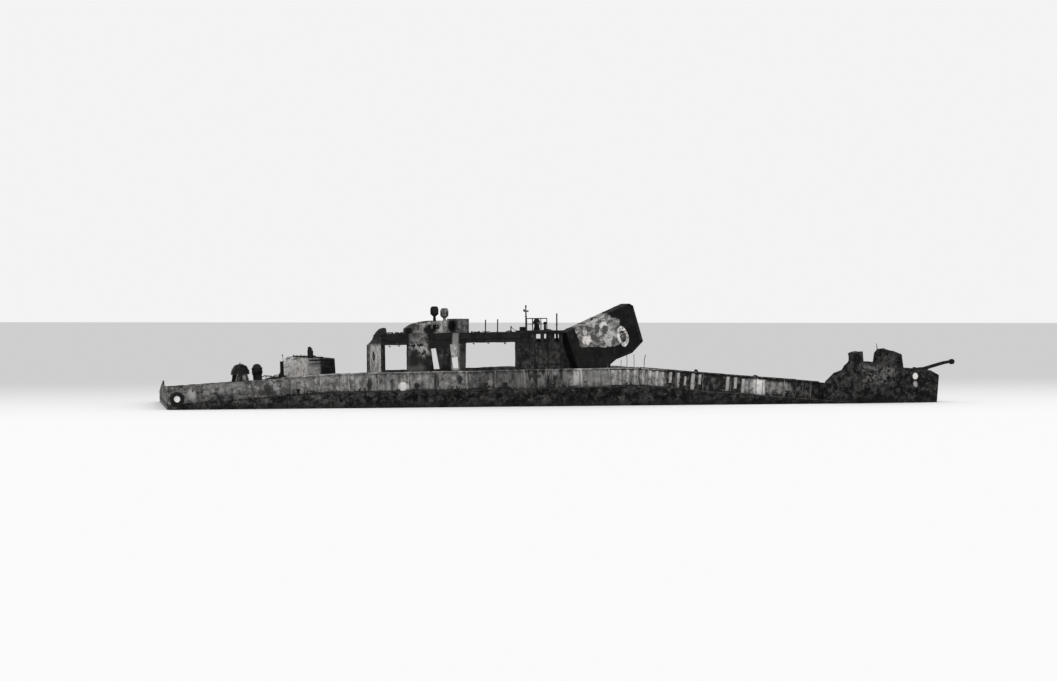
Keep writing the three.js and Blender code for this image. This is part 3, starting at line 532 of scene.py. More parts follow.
def marks_casing(g, v, x, y, w, rag, mid):
    side = g.step(g.xyz(g.n)[2], 0.75, 0.55).max(g.step(mid * 0.7 + rag, 0.34, 0.40))    # kept off most faces that look up, save for noise patches
    side = side * g.step(w, 1.68, 1.64).max(g.step(y, -2.10, -2.14)).max(g.step(y, -1.70, -1.66))    # the stack is black
    v = lerp(g.step(x + rag * 0.5, -0.42, -0.56) * side, v, lerp(g.step(mid, 0.42, 0.6), 0.15, 0.30))
    # painted highlight: the after face and its cut corner are painted pale, standing for the sun on them
    aft = g.step(x + rag * 0.3, -1.02, -1.10) * side
    flakes = g.noise(g.vec(x, y, w * 0.7), 6.5, 8, 0.72, 0.4) * 0.75 + mid * 0.25
    return lerp(aft, v, lerp(g.step(flakes, 0.45, 0.48), 0.20, lerp(g.step(mid, 0.38, 0.6), 0.38, 0.54)))


def marks_house(g, v, x, y, w, rag, mid):
    out = g.step(y, -3.85, -3.93) * g.outer()
    v = lerp(patch(g, x, w, rag, 3.30, 4.15, 1.6, 2.7, 0.14) * out * g.step(mid, 0.42, 0.56), v, 0.30)
    v = lerp(patch(g, x, w, rag * 0.35, 5.29, 5.60, 0.9, 2.7, 0.10) * out, v, lerp(g.step(w, 0.7, 1.6), 0.45, 0.20))
    v = lerp(patch(g, x, w, rag, 5.62, 5.95, 0.9, 1.7, 0.12) * out * 0.7, v, 0.045)
    v = lerp(patch(g, x, w, rag, 3.15, 4.0, 0.85, 1.2, 0.12) * out * 0.8, v, 0.085)
    v = lerp(patch(g, x, w, rag * 0.8, 3.30, 3.70, 1.1, 1.9, 0.12) * out, v, 0.014)
    v = lerp(patch(g, x, w, rag, 5.9, 8.6, 2.15, 2.62, 0.08) * out, v, 0.014)
    v = lerp(patch(g, x, w, rag * 0.8, 4.15, 5.28, 1.9, 2.62, 0.10) * out, v, 0.011)
    v = lerp(patch(g, x, w, rag, 8.7, 10.6, 0.0, 1.2, 0.3) * out * g.step(mid, 0.46, 0.6) * 0.7, v, 0.07)
    return v


def marks_roof(g, v, x, y, w, rag, mid):
    out = g.step(y, -3.85, -3.93) * g.outer()
    v = lerp(g.step(x + rag * 0.5, 3.22, 3.36) * g.step(x + rag * 0.5, 4.2, 4.06) * out, v, lerp(g.step(mid, 0.4, 0.58), 0.03, 0.15))
    return lerp(g.step(x + rag * 0.3, 5.26, 5.34) * g.step(x + rag * 0.3, 5.64, 5.56) * out, v, 0.18)


def marks_tub(g, v, x, y, w, rag, mid):
    out = g.step(y, -2.6, -2.8)
    v = lerp(g.step(x + rag * 0.6, 5.15, 5.45) * out, v, v * 0.45)
    v = lerp(patch(g, x, w, rag, 3.42, 3.95, 2.45, 3.2, 0.14) * out * 0.7, v, 0.22)
    for cx, cw, rx, rw in ((3.30, 2.76, 0.26, 0.22), (4.27, 2.76, 0.34, 0.17), (5.34, 2.93, 0.20, 0.30)):
        v = lerp(blob(g, x, w, rag * 0.4, cx, cw, rx, rw) * out, v, 0.008)
    return v


def marks_panel(g, v, x, y, w, rag, mid):
    out = g.step(y, -3.80, -3.92) * g.outer()
    edge = g.step(x + rag * 0.35, 13.50, 13.30) * g.step(w + rag * 0.6 - (x - 11.5) * 0.03, 1.76, 1.94) \
        * g.step(x + rag * 0.5 + (w - 2.7).abs() * -0.30, 11.12, 11.36) * g.step(w - (x - 10.8) * 0.42 + rag * 0.35, 2.66, 2.54) \
        * g.step(w + (x - 12.70) * 0.42 + rag * 0.5, 3.48, 3.34)
    blotch = g.noise(g.vec(x, y, w), 2.9, 5, 0.68, 0.8)
    chip = g.noise(g.vec(x, y, w), 7.5, 8, 0.74, 0.5)
    inside = g.step(edge * out * 0.62 + chip * 0.38, 0.44, 0.50)
    tone = lerp(g.step(blotch, 0.40, 0.64), 0.10, 0.42)
    tone = lerp(g.step(chip * 0.6 + blotch * 0.4, 0.44, 0.47), 0.06, tone)
    v = lerp(inside, v, tone)
    up = g.step(g.xyz(g.n)[2], 0.6, 0.8) * g.step(x + rag, 11.2, 11.5) * g.step(x + rag, 12.95, 12.65) * g.step(w, 2.4, 2.5)
    v = lerp(up, v, lerp(g.step(chip * 0.6 + blotch * 0.4, 0.44, 0.50), 0.05, 0.24))
    for cx, cw, r, t in ((11.8, 2.19, 0.23, 0.62), (12.59, 2.88, 0.19, 0.60), (12.83, 2.27, 0.2, 0.46), (12.2, 3.05, 0.2, 0.42)):
        v = lerp(blob(g, x, w, rag * 0.9, cx, cw, r, r * 0.9, 0.22) * inside * g.step(chip, 0.40, 0.46), v, t)
    for cx, cw, rx, rw in ((11.9, 2.70, 0.17, 0.16), (12.15, 2.3, 0.15, 0.2), (12.69, 2.69, 0.14, 0.17), (12.3, 2.72, 0.12, 0.3)):
        v = lerp(blob(g, x, w, rag * 1.0, cx, cw, rx, rw, 0.22) * inside, v, 0.07)
    return v


M = {
    "hull": weathered("hull_paint", 0.007, 0.028, spot=0.085, hole=0.004, wet=True, streak=0.12, bump=0.02, scale=1.3, mottle=0.86),
    "hull_stern": weathered("hull_paint_stern", 0.013, 0.052, spot=0.12, hole=0.006, wet=True, streak=0.12, bump=0.02, scale=1.3, mottle=0.80, clump=0.4),
    "hull_bow": weathered("hull_paint_bow", 0.007, 0.026, spot=0.080, hole=0.004, wet=True, streak=0.12, marks=marks_hull_bow, frame_m=BOW, bump=0.02, scale=1.3, mottle=0.86),
    "coam_mid": weathered("coaming_mid_paint", 0.140, 0.310, spot=0.40, hole=0.045, marks=marks_mid, frame_m=MID, streak=0.22, scale=1.25, foot=(MID, 0.34, 0.10), mottle=0.34, clump=0.25),
    "coam_bow": weathered("coaming_bow_paint", 0.105, 0.24, spot=0.34, hole=0.045, marks=marks_bow, frame_m=BOW, streak=0.25, foot=(BOW, 0.30, 0.11), mottle=0.34),
    "coam_stern": weathered("coaming_stern_paint", 0.150, 0.325, spot=0.42, hole=0.045, streak=0.22, scale=1.25, foot=(STERN, 0.50, 0.13), mottle=0.34, clump=0.35),
    "bulwark": weathered("bulwark_paint", 0.060, 0.190, spot=0.27, hole=0.020, marks=marks_stern, frame_m=STERN, streak=0.22, scale=1.25, foot=(STERN, 0.50, 0.12), mottle=0.45, clump=0.75),
    "strip": weathered("rib_paint", 0.26, 0.42, spot=0.50, hole=0.08, marks=marks_strip, frame_m=BOW, mottle=0.3),
    "house": weathered("house_paint", 0.008, 0.030, spot=0.085, hole=0.005, marks=marks_house, frame_m=MID, streak=0.25, scale=1.2, mottle=0.5),
    "roof": weathered("roof_paint", 0.008, 0.020, spot=0.04, marks=marks_roof, frame_m=MID, streak=0.1),
    # after bulkhead: partly its pale grey paint, partly a painted highlight, the tone raised to stand for the sun on
    # its after face
    "bulkhead": weathered("bulkhead_paint_and_highlight", 0.46, 0.62, spot=0.70, flake=0.22, streak=0.35, marks=marks_bulkhead, frame_m=MID),
    "tub": weathered("tub_paint", 0.090, 0.260, spot=0.36, hole=0.022, marks=marks_tub, frame_m=MID, streak=0.40, scale=1.5, mottle=0.4),
    "panel": weathered("shelter_paint", 0.004, 0.013, spot=0.035, marks=marks_panel, frame_m=MID, streak=0.2),
    "casing": weathered("casing_paint_and_highlight", 0.008, 0.026, spot=0.07, marks=marks_casing, frame_m=STERN, streak=0.3, mottle=0.3),
    "winch": weathered("winch_paint", 0.008, 0.028, spot=0.055, hole=0.005, marks=marks_winch, frame_m=STERN, streak=0.1, warm=0.08, scale=2.0, specular=0.2),
    "deck": weathered("deck_rust", 0.030, 0.090, spot=0.14, hole=0.016, streak=0.0, warm=0.07, bump=0.02),
    "deckplate": weathered("deck_plate", 0.016, 0.050, spot=0.085, hole=0.009, streak=0.0, warm=0.07, bump=0.02, mottle=0.38),
    "vent": weathered("vent_paint", 0.07, 0.19, spot=0.26, hole=0.02, streak=0.3, scale=2.0, mottle=0.3),
    "faded": weathered("faded_paint", 0.28, 0.52, spot=0.66, flake=0.12, streak=0.3),
    # pale: used only for the fairlead's disc, a painted reflection of the sky-lit deck seen through the hole
    "pale": weathered("pale_painted_reflection", 0.66, 0.84, spot=0.88, hole=0.16, streak=0.2, scale=2.0, grain=0.15),
    "ring": weathered("ring_paint", 0.62, 0.84, spot=0.88, flake=0.24, hole=0.12, streak=0.2, scale=1.6, grain=0.15),
    "gear": weathered("gear_rust", 0.008, 0.028, spot=0.055, hole=0.005, streak=0.1, warm=0.08, scale=2.0, specular=0.2),
    "dark": weathered("black_rust", 0.006, 0.016, spot=0.035, streak=0.2, scale=1.6),
    "wire": weathered("wire_rust", 0.03, 0.08, spot=0.11, streak=0.0, warm=0.1, scale=5.0, specular=0.3),
    "worn": weathered("worn_steel", 0.10, 0.20, spot=0.26, hole=0.05, streak=0.0, scale=2.5, metallic=0.6, rough=0.55, specular=0.5),
    "anode": weathered("zinc", 0.30, 0.42, spot=0.5, streak=0.0, scale=4.0, warm=0.01, metallic=0.3),
    "bronze": weathered("bronze_green", 0.09, 0.17, spot=0.22, hole=0.05, streak=0.0, scale=2.5, warm=0.22, metallic=0.7, rough=0.5, specular=0.5),
}

SLOTS = {"hull_dark": "hull", "hull_light": "coam_mid", "deck": "deck", "house": "house", "faded": "faded", "gear": "gear", "bronze": "bronze"}
DRESS = {"hull_bow_section": "hull_bow", "hull_stern_section": "hull_stern", "bow_bulwark_starboard": "hull_bow", "bow_wing_starboard": "hull_bow",
         "coaming_mid_starboard": "coam_mid", "coaming_mid_port": "coam_mid", "coaming_bow_starboard": "coam_bow",
         "coaming_bow_port": "coam_bow", "coaming_stern_starboard": "coam_stern", "coaming_stern_port": "coam_stern",
         "stern_bulwark": "bulwark", "deckhouse_aft_bulkhead": "bulkhead", "splinter_shield": "tub",
         "toppled_shelter": "panel", "engine_casing": "casing", "engine_hatch_lid": "deck", "stern_fairlead": "dark",
         "ramp_hoist_arm": "dark", "bridge_rail": "dark", "binnacle": "dark", "roof_vent_1": "dark", "roof_vent_2": "vent"}


def dress_nodes():
    for name, o in NODES.items():
        for i, old in enumerate(list(o.data.materials)):
            slot = old.name.split(".")[0] if old else ""
            o.data.materials[i] = M[DRESS.get(name, SLOTS.get(slot, "gear"))]
        if not len(o.data.materials):
            o.data.materials.append(M[DRESS.get(name, "gear")])


# ---------------------------------------------------------------- plating
BAY = 690.0          # spacing of the frames behind the plates, mm


def smooth(v, a, b):
    t = min(1.0, max(0.0, (v - a) / (b - a)))
    return t * t * (3 - 2 * t)


def dish(x, w, seed, bay=BAY):
    """How far a plate is dished in between its frames, 0..1."""
    return abs(math.sin(math.pi * x / bay)) ** 0.8 * (0.45 + 0.55 * rough_noise(x, w, 0, 1700, seed))


def plated(node, key, m, grid, fn, body=HULL, smooth_angle=35):
    p = Piece(node + "_plating", M[key], m, body).take(node, *grid)
    if key.startswith("hull") and node.startswith("hull"):
        p.paint(M["deckplate"], lambda c, n: n.z > 0.9 and c.z > -60)
    if fn:
        p.move(fn)
    return p.done(smooth=smooth_angle, replaces=(node,))


def hull_move(seed, low=-520.0):
    def fn(c):
        x, y, w = c
        if abs(y) > 4300 and w < -220:
            k = smooth(-w, 220, 380)
            d = 26 * dish(x, w, seed) * k + 22 * max(0.0, rough_noise(x, w, 5, 900, seed)) * k
            return (0, -math.copysign(d, y), 0)
        if abs(y) > 4880 and w > -220:
            n = rough_noise(x, 0, 0, 500, seed)
            return (0, -math.copysign(max(0.0, 22 * n), y), 0)
        if w > -30 and abs(y) < 4000:
            return (0, 0, -9 * max(0.0, dish(x, y, seed)))
    return fn


def coaming_move(seed, top, rag, dent=22.0):
    def fn(c):
        x, y, w = c
        d = dent * (dish(x, w, seed) - 0.35) * smooth(w, 0, 250) + 26 * rough_noise(x, w, 3, 2600, seed) * smooth(w, 100, 800)
        z = 0.0
        if w > 330:
            bite = max(0.0, rough_noise(x, 0, 0, 1900, seed)) * 1.2 + max(0.0, rough_noise(x, 0, 4, 420, seed) - 0.18) * 1.5 + 0.3 * abs(rough_noise(x, 0, 8, 120, seed))
            z = -rag * bite * smooth(w, 330, top)
        return (0, d, z)
    return fn


def make_hull():
    plated("hull_stern_section", "hull_stern", STERN, (230, 490, 240), hull_move(1.3))
    plated("hull_mid_section", "hull", MID, (230, 490, 240), hull_move(4.1))
    plated("hull_bow_section", "hull_bow", BOW, (230, 490, 240), hull_move(7.7))
    for side, rag, top in (("starboard", 26, 870), ("port", 120, 800)):
        plated("coaming_stern_" + side, "coam_stern", STERN, (172.5, None, 140), coaming_move(2.2 + rag, top, rag))
        plated("coaming_mid_" + side, "coam_mid", MID, (172.5, None, 140), coaming_move(5.2 + rag, top, rag))
        plated("coaming_bow_" + side, "coam_bow", BOW, (172.5, None, 140), coaming_move(8.2 + rag, top, rag))

    def bulwark(c):
        x, y, w = c
        d = 30 * (dish(x, w, 3.3, 460) - 0.3) * smooth(w, 0, 200)
        z = -(55 if y < 0 else 130) * max(0.0, rough_noise(x, y, 0, 260, 9.1) + 0.1) * smooth(w, 330, 820)
        return (0, math.copysign(min(d, 26), -y) if abs(y) > 4700 else 0, z)
    plated("stern_bulwark", "bulwark", STERN, (115, 240, 115), bulwark)

    def bow_side(seed, rag):
        def fn(c):
            x, y, w = c
            d = 26 * (dish(x, w, seed, 520) - 0.2) * smooth(w, 0, 250)
            z = -rag * max(0.0, rough_noise(x, 0, w, 210, seed)) * smooth(w, 700, 1500)
            return (0, math.copysign(min(d, 24), -y), z)
        return fn

    def high_plate(c):
        """The torn after shoulder of the high plate stands a little further aft."""
        a = max(0.0, 1.0 - math.hypot(c.x - 10399, c.z - 2330) / 400)
        b = max(0.0, 1.0 - math.hypot(c.x - 10150, c.z - 1750) / 420)
        return Vector(bow_side(6.0, 22)(c)) + Vector((-230 * a - 110 * b, 0, 0))
    plated("bow_bulwark_starboard", "hull_bow", BOW, (115, None, 115), high_plate)
    plated("bow_wing_starboard", "hull_bow", BOW, (115, 300, 115), bow_side(6.6, 15))
    plated("bow_bulwark_port", "hull_bow", BOW, (115, None, 90), bow_side(9.4, 60))
    plated("bow_wing_port", "hull_bow", BOW, (115, 300, 90), bow_side(9.9, 60))


def make_coaming_ribs():
    # the pale stiffeners forward of the house; some of them have lost most of their paint
    light = Piece("coaming_pale_ribs_mid", M["strip"], MID, seed=3)
    for x, a, b in ((12995, 60, 760), (13354, 60, 770), (13730, 60, 775), (14100, 50, 775)):
        rib(light, x, a, b)
    light.done(bevel=5)
    light = Piece("coaming_pale_ribs_bow", M["strip"], BOW, seed=4)
    for x, a, b, half in ((170, 60, 770, 74), (490, 60, 765, 70), (830, 60, 760, 74), (1115, 60, 745, 62), (1520, 240, 745, 72),
                          (1905, 40, 770, 78), (2264, 180, 600, 50), (2650, 10, 775, 92), (3000, 280, 765, 70),
                          (4415, 60, 770, 82), (4805, 200, 765, 74), (5205, 30, 700, 78)):
        rib(light, x, a, b, half)
    light.done(bevel=5)
    # plain flat-bar stiffeners along the rest of both sides, and the rolled edge on top
    for node, key, m, x0, x1, skip in (("stern", "coam_stern", STERN, -2300, -60, ()), ("mid", "coam_mid", MID, 345, 14200, ((12700, 14300),)),
                                       ("bow", "coam_bow", BOW, 345, 8900, ((0, 5400),))):
        for sgn, side, top in ((-1, "starboard", 760), (1, "port", {"stern": 470, "mid": 640, "bow": 730}[node])):
            p = Piece(f"coaming_stiffeners_{node}_{side}", M[key], m, seed=11)
            x = x0
            while x < x1:
                if sgn > 0 or not any(a < x < b for a, b in skip):
                    t = top - p.rnd.uniform(0, 60)
                    y = sgn * 4083
                    p.bar((x, y + sgn * 34, 8), (x + p.rnd.uniform(-16, 16), y + sgn * (34 + p.rnd.uniform(-8, 8)), t), 16, 76, up=(0, sgn, 0))
                x += BAY / 2
            p.done(bevel=3)
    cap = Piece("coaming_cap_bow", M["dark"], BOW, seed=5)
    x = -40
    while x < 9040:
        n = min(9050, x + cap.rnd.uniform(500, 1100))
        w = 872 + cap.rnd.uniform(-6, 6)
        cap.bar((x, -4112, w - 60), (n - 6, -4112 + cap.rnd.uniform(-8, 8), w - 60 + cap.rnd.uniform(-10, 10)), 74, 126)
        x = n
    cap.box(2700, 2840, -4150, -4080, 830, 975)
    cap.prism([(2640, 860), (2900, 860), (2850, 915), (2700, 930)], "y", -4146, -4120)
    cap.prism([(5660, 860), (5930, 860), (5880, 925), (5700, 930)], "y", -4146, -4120)
    cap.done(bevel=8)
    cap = Piece("coaming_cap_mid", M["dark"], MID, seed=6)
    cap.bar((12790, -4112, 824), (13560, -4108, 820), 74, 104)
    cap.bar((13568, -4112, 820), (14290, -4112, 818), 74, 118)
    for x in (13700, 14050):
        cap.tube([(x, -4110, 850), (x + 12, -4104, 1180), (x - 4, -4112, 1490)], 15, 6)
    cap.tube([(13400, -4110, 850), (13425, -4100, 1230)], 14, 6)
    cap.done(bevel=6)
    cap = Piece("coaming_stanchion_bow", M["dark"], BOW, seed=7)
    cap.tube([(170, -4110, 850), (160, -4100, 1200), (185, -4118, 1480)], 15, 6)
    cap.done()


def rib(p, x, a, b, half=70):
    """A shallow channel stiffener, standing off the coaming plate."""
    k = p.rnd.uniform(-10, 10)
    y = -4060
    prof = [(x - half, y), (x - half, y - 62), (x - half + 14, y - 84), (x + half - 14, y - 84), (x + half, y - 62), (x + half, y)]
    n = 6
    verts, faces = [], []
    for i in range(n + 1):
        w = a + (b - a) * i / n
        dx = k * math.sin(i * 1.3) * 0.8
        verts += [(q[0] + dx, q[1] + p.rnd.uniform(-4, 4), w + p.rnd.uniform(-3, 3)) for q in prof]
    c = len(prof)
    for i in range(n):
        faces += [(i * c + j, i * c + (j + 1) % c, (i + 1) * c + (j + 1) % c, (i + 1) * c + j) for j in range(c)]
    faces += [tuple(range(c))[::-1], tuple(range(n * c, (n + 1) * c))]
    p.mesh(verts, faces)


def make_hull_fittings():
    for name, m, x0, x1 in (("stern", STERN, -4900, -300), ("mid", MID, 400, 13900), ("bow", BOW, 300, 9200)):
        p = Piece("shell_straps_" + name, M[{"stern": "hull_stern", "mid": "hull", "bow": "hull_bow"}[name]], m, seed=21)
        x = x0
        while x < x1:
            for s in (-1, 1):
                y = s * 4896
                p.box(x - 45, x + 45, min(y, y + s * 14), max(y, y + s * 14), -1500 if name == "mid" else -1150, -205)
                if p.rnd.random() < 0.55:
                    p.ring((x + 700, s * 4885, -430 - p.rnd.uniform(0, 120)), (0, s, 0), 42, 78, 34, 14)
            x += 1380
        for s in (-1, 1):       # the heavy rubbing bar is broken into lengths
            x = x0
            while x < x1 - 200:
                n = min(x1, x + p.rnd.uniform(900, 2100))
                p.bar((x, s * 4968, -120 + p.rnd.uniform(-6, 6)), (n - 25, s * 4968, -120 + p.rnd.uniform(-6, 6)), 40, 84)
                x = n
        p.done(bevel=5)
    # the two breaks in the hull: torn edges of shell and deck, standing a little off each other
    for name, m, mm in (("aft", MID, STERN), ("forward", BOW, MID)):
        p = Piece("break_edges_" + name, M["hull"], m, seed=31 if name == "aft" else 33)
        for s in (-1, 1):
            w = -180.0
            while w > -1350:
                h = p.rnd.uniform(70, 190)
                ln = p.rnd.uniform(60, 230)
                y = s * (4900 + p.rnd.uniform(2, 22))
                p.mesh([(-20, y - 10 * s, w), (ln, y + p.rnd.uniform(-14, 26) * s, w - p.rnd.uniform(5, 60)), (ln * 0.7, y + 14 * s, w - h), (-20, y - 10 * s, w - h),
                        (-20, y - 22 * s, w), (ln, y - 8 * s, w - 30), (ln * 0.7, y - 6 * s, w - h), (-20, y - 24 * s, w - h)],
                       [(0, 1, 2, 3), (7, 6, 5, 4), (0, 4, 5, 1), (1, 5, 6, 2), (2, 6, 7, 3), (3, 7, 4, 0)])
                w -= h
        y = -3900.0
        while y < 3900:
            d = p.rnd.uniform(120, 420)
            ln = p.rnd.uniform(50, 260)
            up = p.rnd.uniform(8, 34)
            p.mesh([(-30, y, 2), (ln, y + d * 0.3, 6 + up), (ln * 0.5, y + d, 6 + up * 0.4), (-30, y + d, 2), (-30, y, 14), (ln, y + d * 0.3, 16 + up), (ln * 0.5, y + d, 18 + up * 0.4), (-30, y + d, 14)],
                   [(0, 3, 2, 1), (4, 5, 6, 7), (0, 1, 5, 4), (1, 2, 6, 5), (2, 3, 7, 6), (3, 0, 4, 7)])
            y += d
        p.done()


def free_of(x, y, gaps):
    return not any(a < x < b and c < y < d for a, b, c, d in gaps)


def make_deck_fittings():
    rooms = {"stern": [(-1900, 260, -2450, 2450), (-4600, -2700, -1300, 1300)], "mid": [(1900, 10750, -4100, -1600), (10500, 13050, 1650, 4100), (1900, 9800, 1650, 4100), (10600, 14400, -4100, -1700)], "bow": []}
    for name, m, x0, x1 in (("stern", STERN, -6800, -200), ("mid", MID, 300, 14000), ("bow", BOW, 300, 14600)):
        gaps = rooms[name]
        p = Piece("deck_fittings_" + name, M["deck"], m, seed=41)
        x = x0
        while x < x1:
            y = -3700
            while y < 3700:             # seams over the deck beams
                if free_of(x, y + 230, gaps) and free_of(x, y, gaps):
                    p.box(x - 30, x + 30, y, y + 455, -6, 7)
                y += 460
            x += 1380
        for s in (-1, 1):
            x = x0 + 500
            while x < x1 - 300:         # flush covers on the side decks
                if name != "bow" or x < 8600:
                    p.lathe([(0, 0), (215, 0), (215, 10), (200, 14), (0, 14)], (x, s * 4560, -4), sides=22)
                    for k in range(12):
                        a = k * math.pi / 6
                        p.lathe([(0, 0), (14, 0), (14, 10), (0, 12)], (x + 185 * math.cos(a), s * 4560 + 185 * math.sin(a), 8), sides=6)
                x += 2070
        for x in range(int(x0) + 690, int(x1), 690):
            for y in range(-3300, 3400, 660):      # lashing points with a star-shaped slot
                if free_of(x, y, gaps):
                    p.ring((x, y, -4), (0, 0, 1), 48, 82, 14, 12)
        p.done(bevel=0)
        g = Piece("side_deck_gear_" + name, M["gear"], m, seed=43)
        for s in (-1, 1):
            for x in {"stern": (-4300, -1500), "mid": (900, 5200, 9800, 13600), "bow": (3200, 7300)}[name]:
                g.box(x - 190, x + 190, s * 4700 - 60, s * 4700 + 60, -4, 34)      # a small closed fairlead
                for k in (-130, 130):
                    g.tube([(x + k, s * 4700, 20), (x + k, s * 4700, 120), (x + k * 0.55, s * 4700, 190)], 34, 10)
            for x in {"stern": (-2000,), "mid": (3460, 6700, 7640), "bow": (1900, 7300)}[name]:
                g.lathe([(0, 0), (95, 0), (95, 12), (60, 26), (60, 230), (105, 245), (118, 275), (105, 305), (0, 322)], (x, s * 4590, -4), sides=16)
        g.done(bevel=5)


# ---------------------------------------------------------------- deckhouse, bridge, shelter, cabin
def wall_move(seed, plane, dent=20.0, warp=14.0, foot=60.0, inward=1.0):
    """Dents a wall that stands across one axis (plane 'y' or 'x') and makes its edges uneven."""
    def fn(c):
        x, y, w = c
        a = x if plane == "y" else y
        k = smooth(w, foot, foot + 260)
        d = dent * (dish(a, w, seed, 620) * 0.8 + rough_noise(a, w, 0, 1100, seed + 4) * 0.7) * k * inward
        da = warp * rough_noise(a, w, 9, 310, seed + 1) * k
        dw = warp * rough_noise(a, w, 17, 290, seed + 2) * k
        return (da, d, dw) if plane == "y" else (d, da, dw)
    return fn


def slab_move(seed, sag=26.0, rag=16.0):
    def fn(c):
        x, y, w = c
        return (rag * rough_noise(x, y, 3, 260, seed), rag * rough_noise(x, y, 7, 260, seed + 1), -sag * max(0.0, dish(x, y, seed, 900)))
    return fn


def porthole(p, x, y, w, s, r=150, axis="y"):
    """A scuttle: heavy ring with bolts, and the hinge lug of its lost cover."""
    d = Vector((0, s, 0)) if axis == "y" else Vector((s, 0, 0))
    at = Vector((x, y, w))
    p.ring(at, d, r * 0.92, r * 1.30, 26, 28, 6)
    side = Vector((0, 0, 1)).cross(d)
    for k in range(10):
        a = k * math.pi / 5 + 0.3
        q = at + side * (math.cos(a) * r * 1.12) + Vector((0, 0, 1)) * (math.sin(a) * r * 1.12)
        p.lathe([(0, 20), (11, 20), (11, 34), (7, 37), (0, 37)], q, d, 6)
    top = at + Vector((0, 0, 1)) * r * 1.36
    p.bar(top - side * 34 + d * 16, top + side * 34 + d * 16, 44, 24, up=d)
    p.tube([top - side * 46 + d * 26, top + side * 46 + d * 26], 11, 8)


def ladder(p, a, b, wide, across, step=300, r=13, stand=0):
    """Two side bars and rungs from a up to b; across is the direction of the rungs."""
    a, b, c = Vector(a), Vector(b), Vector(across)
    for s in (-0.5, 0.5):
        p.bar(a + c * wide * s, b + c * wide * s, 14, 52, up=c.cross(b - a))
    n = int((b - a).length // step)
    for i in range(1, n + 1):
        q = a + (b - a) * (i / (n + 0.4))
        if (i * 7 + int(wide)) % 5 == 3:      # a rung bent down
            p.tube([q - c * wide * 0.48, q - c * wide * 0.1 - Vector((0, 0, 70)), q + c * wide * 0.2 - Vector((0, 0, 95)), q + c * wide * 0.48], r, 6)
        else:
            p.tube([q - c * wide * 0.48, q + c * wide * 0.48], r, 6)


def scrap(p, at, size, seed, n=1, lift=0.35):
    """A torn, curled scrap of plate."""
    rnd = random.Random(seed)
    nx, ny = 5, 4
    L, W = size
    ang, curl, tw = rnd.uniform(0, math.pi), rnd.uniform(0.3, 1.0) * lift, rnd.uniform(-0.25, 0.25)
    top, bot = [], []
    for i in range(nx):
        for j in range(ny):
            u, v = i / (nx - 1) - 0.5, j / (ny - 1) - 0.5
            x = u * L * (1 + rnd.uniform(-0.08, 0.08)) + v * W * 0.15
            y = v * W * (1 - abs(u) * rnd.uniform(0.1, 0.6))
            z = curl * L * u * u * 1.6 + tw * L * u * v + rnd.uniform(0, 0.03) * L
            q = Matrix.Rotation(ang, 3, "Z") @ Vector((x, y, z))
            top.append(Vector(at) + q + Vector((0, 0, 13)))
            bot.append(Vector(at) + q)
    f = []
    n0 = nx * ny
    for i in range(nx - 1):
        for j in range(ny - 1):
            a = i * ny + j
            f.append((a, a + ny, a + ny + 1, a + 1))
            f.append((n0 + a + 1, n0 + a + ny + 1, n0 + a + ny, n0 + a))
    ring_ = [i * ny for i in range(nx)] + [(nx - 1) * ny + j for j in range(1, ny)] + [i * ny + ny - 1 for i in range(nx - 2, -1, -1)] + [j for j in range(ny - 2, 0, -1)]
    for k in range(len(ring_)):
        a, b = ring_[k], ring_[(k + 1) % len(ring_)]
        f.append((b, a, n0 + a, n0 + b))
    p.mesh(top + bot, f)


